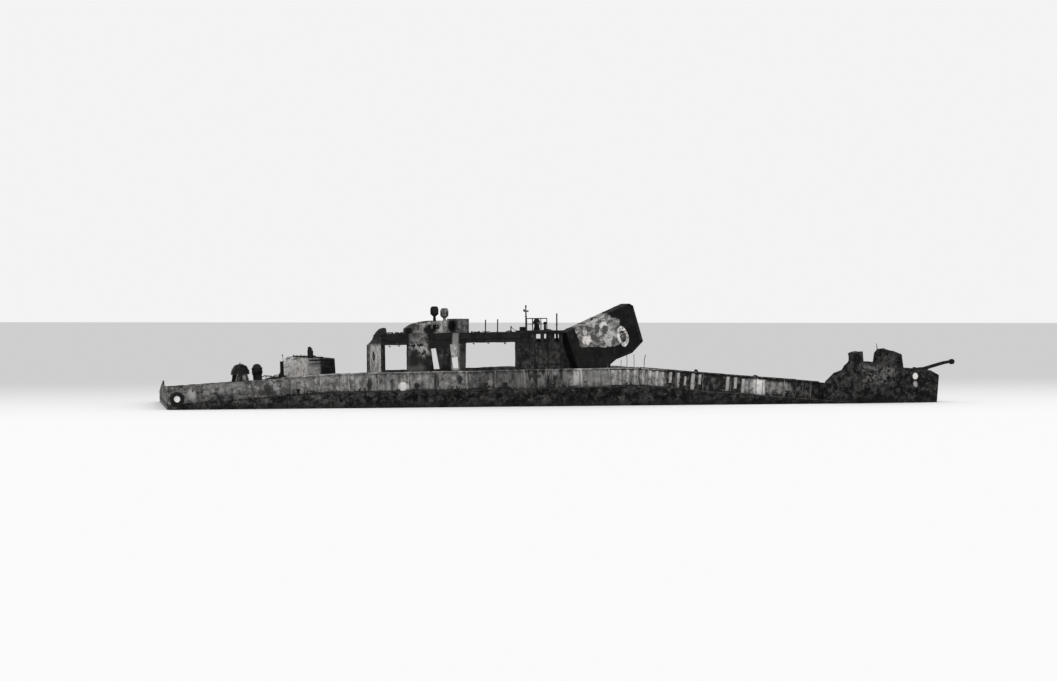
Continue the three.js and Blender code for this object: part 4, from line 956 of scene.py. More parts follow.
def make_deckhouse():
    plated("deckhouse_outer_wall", "house", MID, (172.5, None, 140), wall_move(12.1, "y", 20, 16))
    plated("deckhouse_inner_wall", "house", MID, (172.5, None, 140), wall_move(14.6, "y", 26, 24))
    plated("deckhouse_aft_bulkhead", "bulkhead", MID, (None, 160, 140), wall_move(16.3, "x", 16, 14))
    sag = slab_move(18.4, 20, 14)

    def roof(c):                                   # the cowl at the after end is beaten down
        d = sag(c)
        if c.z > 2640 and c.x > 2400:
            return (0, 0, 0)
        if c.z > 2640:
            k = (c.z - 2610) / 350
            return (d[0] - 40 * k * (1 - k), d[1], -70 * k - 50 * k * smooth(-c.x, -2140, -1960) + 18 * rough_noise(c.x, c.y, c.z, 200, 3.0))
        return d
    plated("deckhouse_roof", "roof", MID, (115, 230, 70), roof)
    plated("port_sill", "house", MID, (140, 160, 80), wall_move(19.7, "y", 14, 34, 20))
    p = Piece("deckhouse_frames", M["dark"], MID, seed=51)
    # the black corner post forward of the after bulkhead, and the deep beam on the roof's edge
    p.bar((2100, -3935, 4), (2085, -3940, 2150), 90, 78, up=(0, 1, 0))
    p.bar((2010, -3985, 2420), (3230, -3985, 2410), 60, 330)
    p.bar((4180, -3985, 2440), (5270, -3982, 2450), 60, 240)
    p.bar((5640, -3985, 2440), (8950, -3985, 2470), 60, 250)
    for x in (3480, 4170, 4850, 5770, 8620):
        p.bar((x, -3874, 4), (x + p.rnd.uniform(-20, 20), -3874, 2140), 14, 70, up=(0, 1, 0))
    for x in (4330, 6430):
        p.bar((x, -1786, 4), (x, -1786, 880 if x > 5000 else 2130), 14, 70, up=(0, 1, 0))
    for x in range(2350, 8900, 345):               # light beams under the roof
        p.bar((x, -3880, 2528), (x, -1780, 2528 - p.rnd.uniform(0, 30)), 12, 62)
    # torn strips left hanging round the openings
    for x, w, dx, dw in ((2330, 2065, 40, -70), (2800, 2070, -30, -50), (6300, 2130, 30, -70), (7050, 2135, -60, -50), (7800, 2130, 20, -80)):
        p.mesh([(x - 55, -3950, w), (x + 60, -3948, w), (x + dx + 20, -3958 - abs(dw) * 0.2, w + dw), (x + dx - 22, -3962 - abs(dw) * 0.18, w + dw * 0.86),
                (x - 55, -3936, w), (x + 60, -3934, w), (x + dx + 20, -3944 - abs(dw) * 0.2, w + dw), (x + dx - 22, -3948 - abs(dw) * 0.18, w + dw * 0.86)],
               [(0, 3, 2, 1), (4, 5, 6, 7), (0, 1, 5, 4), (1, 2, 6, 5), (2, 3, 7, 6), (3, 0, 4, 7)])
    # the strip left hanging in the upper half of the second slit, its old paint outwards
    p.use(M["faded"])
    line = [(5175, 2098), (5232, 1690), (5262, 1500), (5330, 1462), (5392, 1520), (5448, 1476), (5502, 1530), (5548, 1516), (5530, 1800), (5502, 2098)]
    p.prism(line, "y", -3948, -3934)
    p.use(M["dark"])
    # conduit and pipe runs inside, still on their clips
    p.tube([(2200, -3860, 2180), (3900, -3862, 2170), (3960, -3864, 2100), (3960, -3864, 300)], 22, 8)
    p.tube([(5700, -3860, 1960), (5700, -3860, 700), (5900, -3850, 300), (6700, -3700, 90)], 30, 8)
    p.tube([(8930, -1840, 2300), (6900, -1838, 2290), (6480, -1838, 2280), (6440, -1836, 900)], 18, 8)
    p.done(bevel=4)
    p = Piece("deckhouse_contents", M["gear"], MID, seed=53)
    p.box(3500, 4050, -2500, -2050, 2, 820)
    p.box(3520, 4030, -2510, -2500, 60, 780)
    p.lathe([(0, 0), (330, 0), (330, 700), (290, 740), (0, 760)], (7700, -2250, 2), sides=22)
    p.ring((7700, -2250, 200), (0, 0, 1), 325, 345, 40, 22)
    p.ring((7700, -2250, 540), (0, 0, 1), 325, 345, 40, 22)
    p.box(5000, 5060, -3700, -3000, 2, 500)
    for k, (x, y) in enumerate(((2500, -3300), (2900, -2700), (4500, -3200), (6300, -2900), (6900, -3500), (7300, -3000), (7700, -3600), (5400, -2400))):
        scrap(p, (x, y, 20), (520 + 60 * (k % 4), 260 + 40 * (k % 3)), 60 + k)
    p.done(bevel=6)
    p = Piece("deckhouse_fittings", M["dark"], MID, seed=55)
    porthole(p, 1951, -2330, 1560, -1, 150, "x")
    ladder(p, (1930, -1150, 10), (1930, -1150, 2080), 380, (0, 1, 0))
    p.bar((1940, -3890, 2545), (1940, -2360, 2545), 26, 60, up=(1, 0, 0))
    # rail feet and clips along the roof edge
    for x in (2500, 2760, 6250, 6600, 6900, 7480, 8120, 8500):
        p.lathe([(0, 0), (62, 0), (62, 12), (34, 26), (34, 80), (0, 80)], (x, -3900, 2606), sides=12)
    p.tube([(8120, -3900, 2860), (8300, -3890, 2700), (8520, -3905, 2640)], 14, 6)
    p.bar((3560, -1720, 2640), (3560, -2300, 2640), 60, 60)
    p.done(bevel=3)
    p = Piece("roof_rubble", M["dark"], MID, seed=57)
    for k, (x, y) in enumerate(((2700, -2300), (6600, -3300), (7300, -2500), (8300, -2900), (2900, -3500))):
        scrap(p, (x, y, 2614), (420, 240), 80 + k, lift=0.22)
    for x in (2075, 2165):
        p.bar((x, -3950, 2640), (x + 15, -2500, 2660), 22, 60)
    p.done(bevel=3)


def make_bridge():
    plated("pilothouse", "house", MID, (160, 180, 150), lambda c: (0, -math.copysign(12, c.y + 2830) * dish(c.x, c.z, 22.2, 540) if abs(c.y + 2830) > 1050 else 0, 0) if c.z > 80 else None)
    plated("pilothouse_roof", "dark", MID, (230, 230, None), lambda c: (0, 0, -16 * max(0.0, dish(c.x, c.y, 23.1, 850))) if c.z < 2700 else None)
    p = Piece("bridge_fittings", M["dark"], MID, seed=61)
    for x in (9320, 9705, 10210):                 # window frames, near side
        frame_ring(p, (x + 115, -3962, 2315), 115, 185, (0, -1, 0))
    for y in (-3700, -3090, -2480):               # and in the front
        frame_ring(p, (10602, y + 260, 2240), 260, 240, (1, 0, 0))
    p.bar((8985, -3990, 2560), (10650, -3990, 2560), 40, 60)
    p.bar((9000, -1690, 2560), (10600, -1690, 2560), 40, 60)
    p.bar((10630, -3990, 2560), (10630, -1690, 2560), 60, 40, up=(1, 0, 0))
    for x in (9250, 9900, 10500):
        p.bar((x, -3968, 6), (x, -3968, 2050), 60, 14, up=(0, 1, 0))
    p.tube([(9150, -3990, 1060), (9150, -4030, 1080), (10450, -4030, 1080), (10450, -3990, 1060)], 17, 8)
    ladder(p, (8948, -2150, 10), (8948, -2150, 2620), 380, (0, 1, 0))
    # voice pipes, whistle, signal lamp and a smashed direction finder base on the bridge top
    for x, y, h in ((9480, -3250, 3010), (9560, -3330, 2960), (9860, -2550, 2900)):
        p.tube([(x, y, 2658), (x, y, h - 60), (x - 40, y - 10, h)], 24, 8)
        p.lathe([(26, 0), (62, 90), (52, 92), (20, 8)], (x - 36, y - 10, h - 10), (-0.7, 0, 0.7), 12)
    p.lathe([(0, 0), (150, 0), (150, 16), (60, 30), (50, 330), (0, 330)], (10250, -2250, 2656), sides=14)
    p.tube([(10250, -2330, 3000), (10250, -2170, 3000)], 60, 10)
    p.box(9050, 9300, -2300, -2050, 2658, 2830)
    # mast stays' eyes, yard bands and lamp brackets
    for w in (2900, 3300, 3560, 3780):
        p.ring((9028, -3300, w), (0, 0, 1), 26, 50, 34, 12)
    p.box(9004, 9052, -3660, -3600, 3535, 3610)
    p.lathe([(0, 0), (44, 0), (50, 60), (30, 100), (0, 104)], (9024, -3000, 3560), sides=12)
    p.ring((10614, -3000, 2900), (0, 0, 1), 32, 54, 30, 12)
    p.done(bevel=4)
    d = Piece("pilothouse_door_fittings", M["gear"], MID, "bridge_door", seed=62)
    door_gear(d, 8928, -3260, -2470, 100, 2030, -3260)
    d.done(bevel=3)
    d = Piece("cabin_door_fittings", M["gear"], MID, "cabin_door", seed=63)
    door_gear(d, 10648, 2470, 3250, 100, 1980, 3250)
    d.done(bevel=3)
    p = Piece("steering_stand_details", M["worn"], MID, seed=64)
    p.bolts([(9935, -3035 + 0, 66), (10115, -3035, 66), (9935, -2665, 66), (10115, -2665, 66)], 18, 16, (0, 0, 1))
    p.ring((10020, -2850, 1240), (0, 0, 1), 60, 92, 22, 16)
    p.box(9960, 10080, -2935, -2765, 1238, 1262)
    p.done(bevel=2)
    b = Piece("binnacle_bands", M["worn"], MID, seed=65)
    b.ring((9661, -2900, 2960), (0, 0, 1), 105, 162, 26, 16)
    b.ring((9661, -2900, 2662), (0, 0, 1), 150, 200, 18, 16)
    for s in (-1, 1):
        b.tube([(9661, -2900 + s * 150, 2990), (9661, -2900 + s * 215, 2990)], 16, 8)
        b.lathe([(0, -52), (38, -36), (52, 0), (38, 36), (0, 52)], (9661, -2900 + s * 240, 2990), sides=12)
    b.done(bevel=2)


def frame_ring(p, at, hx, hw, out):
    """A flat rectangular frame round a window."""
    o = Vector(out)
    side = Vector((0, 0, 1)).cross(o)
    at = Vector(at)
    t, wd = 16, 34
    for s in (-1, 1):
        p.bar(at + side * s * (hx + wd / 2) - Vector((0, 0, hw + wd)) + o * t / 2, at + side * s * (hx + wd / 2) + Vector((0, 0, hw + wd)) + o * t / 2, wd, t, up=o)
        p.bar(at + Vector((0, 0, s * (hw + wd / 2))) - side * hx + o * t / 2, at + Vector((0, 0, s * (hw + wd / 2))) + side * hx + o * t / 2, wd, t, up=o)


def door_gear(p, x, y0, y1, w0, w1, hinge):
    """On the after face of a steel door: stiffening swages, clips, a lever, hinge straps."""
    far = y1 if hinge == y0 else y0
    sg = 1 if far > hinge else -1
    for k in range(3):
        w = w0 + (w1 - w0) * (0.22 + 0.28 * k)
        p.bar((x - 5, y0 + 90, w), (x - 5, y1 - 90, w), 60, 12, up=(1, 0, 0))
    for w in (w0 + 260, w1 - 260):
        p.bar((x - 8, hinge + sg * 10, w), (x - 8, hinge + sg * 300, w), 56, 14, up=(1, 0, 0))
    for w in (w0 + 180, (w0 + w1) / 2, w1 - 180):
        p.lathe([(0, 0), (30, 0), (30, 18), (0, 22)], (x + 2, far - sg * 70, w), (-1, 0, 0), 12)
        p.bar((x - 20, far - sg * 70, w), (x - 20, far - sg * 150, w - 60), 26, 12, up=(1, 0, 0))
    p.lathe([(0, 0), (95, 0), (95, 10), (0, 14)], (x + 2, (y0 + y1) / 2, w1 - 420), (-1, 0, 0), 20)


def make_shield():
    def fn(c):
        x, y, w = c
        k = smooth(w, 2640, 2900)
        a = Vector((x - 4400, y + 2850, 0))
        a.normalize()
        if x > 5500 and w > 2630:
            return None
        d = 46 * (rough_noise(x, y, w, 420, 31.2) * 0.8 + rough_noise(x, y, w, 900, 33.3) * 0.9) - 10
        z = -34 * max(0.0, rough_noise(x, y, 0, 240, 35.1)) * smooth(w, 2760, 3100)
        return (a.x * d * k, a.y * min(d, 20) * k if y < -3700 else a.y * d * k, z)
    plated("splinter_shield", "tub", MID, (95, 110, 85), fn, smooth_angle=42)
    p = Piece("shield_ribs", M["tub"], MID, seed=71)
    for x, y, w in ((3820, -3915, 3010), (4350, -3918, 3120), (4880, -3915, 3140), (5240, -3740, 3150)):
        p.bar((x, y, 2612), (x + 18, y - 6, w), 16, 46, up=(0, 1, 0))
    for x, y in ((5560, -3868), (6080, -3868)):
        p.bar((x, y, 2612), (x, y, 3230), 16, 30, up=(0, 1, 0))
    p.box(5492, 6138, -3858, -2092, 3232, 3258)
    p.done(bevel=4)
    p = Piece("shield_holes", M["dark"], MID, seed=72)
    # jagged lips round the two holes, and the wreck of the mounting inside
    for cx, cw, rx, rw, n in ((3640, 2885, 165, 125, 13), (4440, 2905, 290, 120, 19)):
        for i in range(n):
            a0, a1 = i * 2 * math.pi / n, (i + 0.85) * 2 * math.pi / n
            k = p.rnd.uniform(0.15, 0.55)
            y = -3770 if cx < 3700 else -3918
            am = (a0 + a1) / 2
            q = [(cx + rx * math.cos(a), y, cw + rw * math.sin(a)) for a in (a0, a1)]
            t = (cx + rx * (1 - k) * math.cos(am), y - p.rnd.uniform(4, 34), cw + rw * (1 - k) * math.sin(am))
            p.mesh([q[0], q[1], t, (q[0][0], y + 12, q[0][2]), (q[1][0], y + 12, q[1][2]), (t[0], t[1] + 12, t[2])], [(0, 1, 2), (5, 4, 3), (0, 3, 4, 1), (1, 4, 5, 2), (2, 5, 3, 0)])
    p.lathe([(0, 0), (300, 0), (300, 30), (210, 60), (180, 420), (230, 470), (0, 500)], (4350, -2850, 2660), sides=20)
    p.bolts([(4350 + 255 * math.cos(a * 0.7854), -2850 + 255 * math.sin(a * 0.7854), 2690) for a in range(8)], 22, 22, (0, 0, 1))
    scrap(p, (3700, -2500, 2680), (420, 260), 91)
    scrap(p, (4900, -2300, 2680), (360, 240), 92)
    p.done(bevel=3)
    p = Piece("roof_vent_details", M["dark"], MID, seed=73)
    for x, top in ((4735, 3850), (5210, 3760)):
        for w, r in ((top - 440, 64), (top - 250, 182), (2760, 92)):
            p.ring((x, -2850, w), (0, 0, 1), r - 12, r + 16, 26, 18)
        p.lathe([(0, 0), (150, 0), (150, 16), (95, 26), (0, 26)], (x, -2850, 2668), sides=18)
        for k in range(10):
            a = k * math.pi / 5
            p.bar((x + 186 * math.cos(a), -2850 + 186 * math.sin(a), top - 370), (x + 190 * math.cos(a), -2850 + 190 * math.sin(a), top - 130), 30, 8, up=(math.cos(a), math.sin(a), 0))
    p.done(bevel=3)


def make_shelter():
    def crumple(c):
        """The low forward corner is pushed in, toward the other end of the plate."""
        k = max(0.0, 1.0 - math.hypot(c.x - 14235, c.z - 1620) / 580)
        return (-220 * k, 0, -70 * k)

    def fn(c):
        x, y, w = c
        if y < -3880:
            return (0, 16 * dish(x, w, 41.0, 640) + 12 * rough_noise(x, w, 0, 700, 42.0), 0)
        if y > -2820:
            return (0, -22 * dish(x, w, 44.0, 640), 0)
        return (8 * rough_noise(x, y, w, 500, 45.0), 0, 8 * rough_noise(x, y, w, 500, 46.0))
    plated("toppled_shelter", "panel", MID, (150, 200, 150), lambda c: Vector(fn(c)) + Vector(crumple(c)))
    S = [(10790, 2560), (13890, 3872), (14080, 3770), (14562, 2090), (14235, 1620), (13250, 1270), (11650, 3)]
    p = Piece("shelter_border", M["dark"], MID, seed=81)
    top = [S[0], S[1], S[2], S[3], S[4], S[5]]
    for a, b in zip(top, top[1:]):                # a rolled angle round the outer side
        p.use(M["panel" if a is S[0] else "dark"])
        va, vb = Vector((a[0], -3962, a[1])), Vector((b[0], -3962, b[1]))
        n = Vector((vb.z - va.z, 0, -(vb.x - va.x))).normalized()
        p.bar(va + n * 62, vb + n * 62, 120, 26, up=(0, 1, 0))
        p.tube([va + n * 14 + Vector((0, 4, 0)), vb + n * 14 + Vector((0, 4, 0))], 22, 8)
    # stiffeners on the other faces, seat bolts that tore out of the deck
    for k in (0.12, 0.3, 0.5, 0.7, 0.88):
        x, w = S[0][0] + (S[1][0] - S[0][0]) * k, S[0][1] + (S[1][1] - S[0][1]) * k
        p.bar((x, -3930, w + 10), (x, -2770, w + 10), 60, 16, up=(-0.39, 0, 0.92))
    for k in (0.2, 0.5, 0.8):
        x, w = S[2][0] + (S[3][0] - S[2][0]) * k, S[2][1] + (S[3][1] - S[2][1]) * k
        p.bar((x + 8, -3900, w), (x + 8, -2800, w), 60, 16, up=(0.96, 0, 0.27))
    p.prism([(12000, 3092), (12110, 3138), (12095, 3196), (12020, 3178)], "y", -3930, -3820)
    p.move(crumple)
    p.done(bevel=5)
    p = Piece("shelter_ring", M["ring"], MID, seed=82)
    # the plain pale ring round the port in the outer side, slightly squashed
    c, n = Vector((13560, -3965, 2335)), 34
    prof = [(196, 0), (200, -16), (352, -18), (360, 0)]
    verts, faces = [], []
    for i in range(n):
        a = i * 2 * math.pi / n
        for r, d in prof:
            u, v = r * math.cos(a) * 0.80, r * math.sin(a) * 1.32
            k = 1.0 + 0.035 * math.cos(4 * a)          # a little squared, like the plate's bent port hole
            verts.append((c.x + u * k - v * 0.13, c.y + d, c.z + v * k - u * 0.14))
    m4 = len(prof)
    for i in range(n):
        for j in range(m4):
            faces.append((i * m4 + j, i * m4 + (j + 1) % m4, ((i + 1) % n) * m4 + (j + 1) % m4, ((i + 1) % n) * m4 + j))
    p.mesh(verts, faces)
    p.done()
    p = Piece("shelter_port_rim", M["faded"], MID, seed=83)
    p.ring((13564, -3952, 2333), (0, -1, 0), 118, 165, 10, 26, 3)
    p.use(M["vent"])                                # its blank cover plate
    p.lathe([(0, -24), (110, -24), (110, -8), (0, -8)], (13564, -3952, 2333), (0, -1, 0), 26)
    p.use(M["dark"])
    p.ring((13564, -3958, 2333), (0, -1, 0), 100, 126, 24, 26, 5)
    p.bolts([(13564 + 165 * math.cos(k * 0.7854), -3960, 2333 + 165 * math.sin(k * 0.7854)) for k in range(8)], 12, 10)
    p.done(bevel=0)
    p = Piece("buckled_frame_details", M["dark"], MID, seed=84)
    for x in (11900, 12300, 13100, 13500):
        h = p.rnd.uniform(260, 560)
        y = -3900
        p.tube([(x, y, 50), (x + 20, y + 10, h * 0.6), (x + p.rnd.uniform(-90, 120), y + 30, h)], [22, 20, 15], 6)
    for x in (12050, 12700, 13300):
        scrap(p, (x, -3300, 30), (620, 380), 100 + x, lift=0.5)
    p.tube([(11850, -3700, 70), (12300, -3500, 300), (12700, -3600, 420), (13200, -3500, 180)], 26, 7)
    p.tube([(12600, -3890, 60), (12500, -3880, 700), (12380, -3890, 1050)], 24, 7)
    for y in (-3900, -2820):
        p.mesh([(12925, y - 12, 58), (13150, y - 12, 58), (12938, y - 12, 330), (12925, y + 12, 58), (13150, y + 12, 58), (12938, y + 12, 330)], [(0, 1, 2), (5, 4, 3), (0, 3, 4, 1), (1, 4, 5, 2), (2, 5, 3, 0)])
    p.done(bevel=3)


def make_port_cabin():
    plated("port_cabin", "house", MID, (160, 180, 150), lambda c: (0, -math.copysign(14, c.y - 2855) * dish(c.x, c.z, 52.2, 540) if abs(c.y - 2855) > 1030 else 0, 0) if c.z > 80 else None)
    plated("port_cabin_roof", "dark", MID, (230, 230, None), lambda c: (0, 0, -12 * max(0.0, dish(c.x, c.y, 53.1, 850))))
    p = Piece("port_cabin_fittings", M["dark"], MID, seed=91)
    for x in (11200, 12100):
        porthole(p, x, 3958, 1500, 1)
        porthole(p, x, 1752, 1500, -1)
    for x in (10900, 11650, 12600):
        p.bar((x, 3966, 6), (x, 3966, 2080), 60, 14, up=(0, 1, 0))
    p.tube([(10800, 3990, 1000), (10800, 4020, 1010), (12800, 4020, 1010), (12800, 3990, 1000)], 17, 8)
    p.lathe([(0, 0), (170, 0), (170, 14), (100, 26), (88, 300), (190, 360), (200, 420), (120, 470), (0, 480)], (11900, 2900, 2176), sides=20)
    ladder(p, (12915, 2500, 10), (12915, 2500, 2160), 380, (0, 1, 0))
    p.done(bevel=4)
    p = Piece("port_sill_frames", M["dark"], MID, seed=92)
    for x in range(2200, 9600, 690):
        h = p.rnd.uniform(200, 520)
        p.tube([(x, 3975, 4), (x + p.rnd.uniform(-20, 20), 3975, h), (x + p.rnd.uniform(-120, 120), 3960, h + 90)], [20, 18, 12], 6)
        h = p.rnd.uniform(180, 430)
        p.bar((x + 200, 1745, 4), (x + 190, 1740, h), 14, 60, up=(0, 1, 0))
    for k in range(9):
        scrap(p, (2500 + k * 830, 2300 + (k * 517) % 1300, 22), (560, 320), 200 + k, lift=0.4)
    p.tube([(2400, 3000, 60), (3900, 3300, 110), (5000, 2900, 60)], 45, 8)
    p.done(bevel=3)


# ---------------------------------------------------------------- stern machinery
WINCH_X, WINCH_W = -3890, 620


def gear_wheel(p, at, axis, r, teeth, thick, hub=60):
    """A spur wheel: toothed rim, web with lightening holes, hub."""
    at, d = Vector(at), Vector(axis).normalized()
    u = d.orthogonal().normalized()
    v = d.cross(u)
    outer = []
    for i in range(teeth):
        for f, k in ((0.0, 0.93), (0.22, 0.93), (0.32, 1.0), (0.68, 1.0), (0.78, 0.93)):
            a = (i + f) * 2 * math.pi / teeth
            outer.append((u * math.cos(a) + v * math.sin(a)) * r * k)
    inner = [(q.normalized()) * r * 0.80 for q in outer]
    n = len(outer)
    vs = [at + q for q in outer] + [at + q for q in inner] + [at + q + d * thick for q in outer] + [at + q + d * thick for q in inner]
    f = []
    for i in range(n):
        j = (i + 1) % n
        f += [(i, n + i, n + j, j), (2 * n + i, 2 * n + j, 3 * n + j, 3 * n + i), (i, j, 2 * n + j, 2 * n + i), (n + i, 3 * n + i, 3 * n + j, n + j)]
    p.mesh(vs, f)
    p.lathe([(0, -8), (hub, -8), (hub, thick + 8), (0, thick + 8)], at, d, 16)
    for i in range(5):
        a = i * 2 * math.pi / 5
        w = u * math.cos(a) + v * math.sin(a)
        p.bar(at + w * hub * 0.9 + d * thick / 2, at + w * r * 0.83 + d * thick / 2, r * 0.16, thick * 0.6, up=d)


def make_stern_gear():
    p = Piece("winch_frame_details", M["gear"], STERN, seed=101)
    for s in (-1, 1):
        p.prism([(-3500, 118), (-3350, 118), (-3500, 300)], "y", s * 640, s * 662)       # gussets and foot bolts
        p.prism([(-4250, 118), (-4350, 118), (-4200, 320)], "y", s * 640, s * 662)
        for x in (-4380, -4100, -3800, -3520):
            p.lathe([(0, 0), (26, 0), (26, 22), (18, 28), (0, 28)], (x, s * 672, 118), sides=6)
        p.ring((WINCH_X, s * 641, WINCH_W), (0, s, 0), 62, 130, 34, 24)
        p.bolts([(WINCH_X + 98 * math.cos(a * 1.0472), s * 674, WINCH_W + 98 * math.sin(a * 1.0472)) for a in range(6)], 13, 12, (0, s, 0))
        p.bar((-4210, s * 652, 160), (-4080, s * 652, 960), 46, 20, up=(0, 1, 0))
        p.bar((-3590, s * 652, 160), (-3700, s * 652, 960), 46, 20, up=(0, 1, 0))
    gear_wheel(p, (-4170, 672, 330), (0, 1, 0), 120, 16, 40, 30)
    p.tube([(-4170, 560, 330), (-4170, 735, 330)], 24, 12)
    p.lathe([(0, 0), (150, 0), (150, 300), (130, 330), (0, 330)], (-4330, 330, 270), (0, -1, 0), 22)
    p.box(-4400, -4250, -120, 120, 118, 400)
    for k in range(7):
        p.ring((-4330, 300 - k * 36, 270), (0, -1, 0), 146, 160, 12, 22)
    # brake band lever, rivets and lifting eye on the hood
    p.tube([(-3560, 640, 130), (-3520, 690, 700), (-3500, 700, 980)], [18, 16, 13], 8)
    p.lathe([(0, -20), (30, 0), (0, 24)], (-3498, 700, 990), sides=10)
    p.ring((-3850, 0, 1490), (0, 1, 0), 26, 46, 22, 14)
    for y in (-300, 0, 300):
        for q in ((-4262, 1060), (-4220, 1260), (-4010, 1425), (-3720, 1440), (-3560, 1300), (-3495, 1120)):
            p.lathe([(0, -6), (14, -6), (14, 8), (8, 14), (0, 14)], (q[0] + (0), y, q[1] + 6), (q[0] + 3890, 0, max(40, q[1] - 1000)), 8)
    for s in (-1, 1):
        p.prism([(-4230, 980), (-3500, 980), (-3510, 1150), (-3620, 1360), (-3850, 1440), (-4080, 1380), (-4220, 1170)], "y", s * 331, s * 341)
    p.done(bevel=6)
    p = Piece("winch_wire", M["wire"], STERN, "winch_drum_body", seed=102)
    pts, r, y = [], 184, -366
    turns = 20
    for i in range(turns * 16 + 1):
        a = i * 2 * math.pi / 16
        pts.append((WINCH_X + (r + 3 * math.sin(i * 0.37)) * math.cos(a), -366 + 732 * i / (turns * 16), WINCH_W + (r + 3 * math.sin(i * 0.37)) * math.sin(a)))
    p.tube(pts, 15, 6)
    p.done()
    p = Piece("winch_drum_details", M["gear"], STERN, "winch_drum_body", seed=103)
    for s in (-1, 1):
        for i in range(8):
            a = i * math.pi / 4
            p.bar((WINCH_X + 60 * math.cos(a), s * 446, WINCH_W + 60 * math.sin(a)), (WINCH_X + 300 * math.cos(a), s * 446, WINCH_W + 300 * math.sin(a)), 34, 16, up=(0, 1, 0))
        p.ring((WINCH_X, s * 440, WINCH_W), (0, s, 0), 288, 326, 24, 30)
        p.ring((WINCH_X, s * 440, WINCH_W), (0, s, 0), 46, 96, 30, 20)
    gear_wheel(p, (WINCH_X, 478, WINCH_W), (0, 1, 0), 300, 44, 46, 70)
    p.done(bevel=3)
    c = Piece("capstan_whelps", M["gear"], STERN, "capstan_body", seed=104)
    prof = [(252, 235), (205, 420), (186, 640), (186, 860), (245, 1060)]
    for i in range(8):
        a = i * math.pi / 4
        u, v = V(math.cos(a), math.sin(a), 0), V(-math.sin(a), math.cos(a), 0)
        vs = []
        for r, w in prof:
            for k, o in ((-26, -24), (26, -24), (18, 22), (-18, 22)):
                vs.append(V(-3080, 0, w) + u * (r + o) + v * k)
        f = []
        for j in range(len(prof) - 1):
            for k in range(4):
                f.append((j * 4 + k, j * 4 + (k + 1) % 4, j * 4 + 4 + (k + 1) % 4, j * 4 + 4 + k))
        f += [(0, 3, 2, 1), (16, 17, 18, 19)]
        c.mesh(vs, f)
        q = V(-3080, 0, 1130) + u * 236
        c.lathe([(0, 0), (34, 0), (34, 8), (20, 8), (18, 2), (0, 2)], q, u, 10)
    c.ring((-3080, 0, 228), (0, 0, 1), 240, 292, 34, 30)
    c.ring((-3080, 0, 1195), (0, 0, 1), 200, 262, 34, 30)
    c.done(bevel=4)
    b = Piece("capstan_base_details", M["gear"], STERN, seed=105)
    b.bolts([(-3080 + 318 * math.cos(k * 0.5236), 318 * math.sin(k * 0.5236), 158) for k in range(12)], 20, 20, (0, 0, 1))
    b.ring((-3080, 0, 4), (0, 0, 1), 352, 392, 24, 30)
    for k in range(6):
        a = k * 1.0472
        b.bar((-3080 + 270 * math.cos(a), 270 * math.sin(a), 168), (-3080 + 345 * math.cos(a), 345 * math.sin(a), 168), 18, 44)
    b.done(bevel=4)
    k = Piece("ready_use_lockers", M["dark"], STERN, seed=107)
    k.prism([(-2640, 2), (-2060, 2), (-2060, 660), (-2140, 730), (-2380, 760), (-2590, 710), (-2650, 610)], "y", -420, 260)
    k.prism([(-2260, 2), (-2010, 2), (-2010, 1470), (-2140, 1500), (-2160, 1010), (-2260, 840)], "y", -1130, -960)
    k.bar((-2030, -1045, 1210), (-1690, -1045, 1210), 44, 30)
    for y in (-300, -80, 140):
        k.bar((-2652, y, 60), (-2660, y, 590), 34, 16, up=(1, 0, 0))
    for y in (-410, 250):
        k.prism([(-2600, 60), (-2100, 60), (-2100, 630), (-2180, 710), (-2380, 735), (-2560, 680)], "y", y - 22, y + 6)
    k.use(M["faded"])
    k.prism([(-2120, 2), (-1850, 2), (-1850, 770), (-1930, 820), (-2120, 760)], "y", 500, 1320)
    k.done(bevel=8)
    # light wreckage between the capstan and the side: bent rails, a crushed box, a length of pipe
    p = Piece("stern_wreckage", M["dark"], STERN, seed=106)
    p.tube([(-3700, -3820, 10), (-3640, -3860, 520), (-3560, -3900, 900), (-3380, -3880, 985), (-3020, -3800, 935)], 26, 8)
    p.tube([(-3350, -3840, 10), (-3330, -3850, 620), (-3290, -3860, 960)], 22, 8)
    p.tube([(-2900, -3830, 10), (-2930, -3840, 560), (-2990, -3830, 930), (-2860, -3820, 960)], 22, 8)
    p.box(-3180, -2820, -3900, -3500, 2, 560)
    p.prism([(-3660, 2), (-3300, 2), (-3260, 420), (-3420, 610), (-3600, 540), (-3700, 260)], "y", -3760, -3420)
    p.bar((-3560, -3860, 700), (-3040, -3840, 800), 24, 60)
    for k, (x, y) in enumerate(((-5000, -2600), (-6200, -1500), (-5900, 2200), (-4600, 3000), (-2300, 3100), (-6800, 600), (-2500, -3000), (-1000, 3200))):
        scrap(p, (x, y, 18), (600, 340), 300 + k, lift=0.4)
    p.tube([(-6500, -3300, 40), (-5400, -3100, 60), (-4700, -3400, 45)], 38, 8)
    p.done(bevel=4)


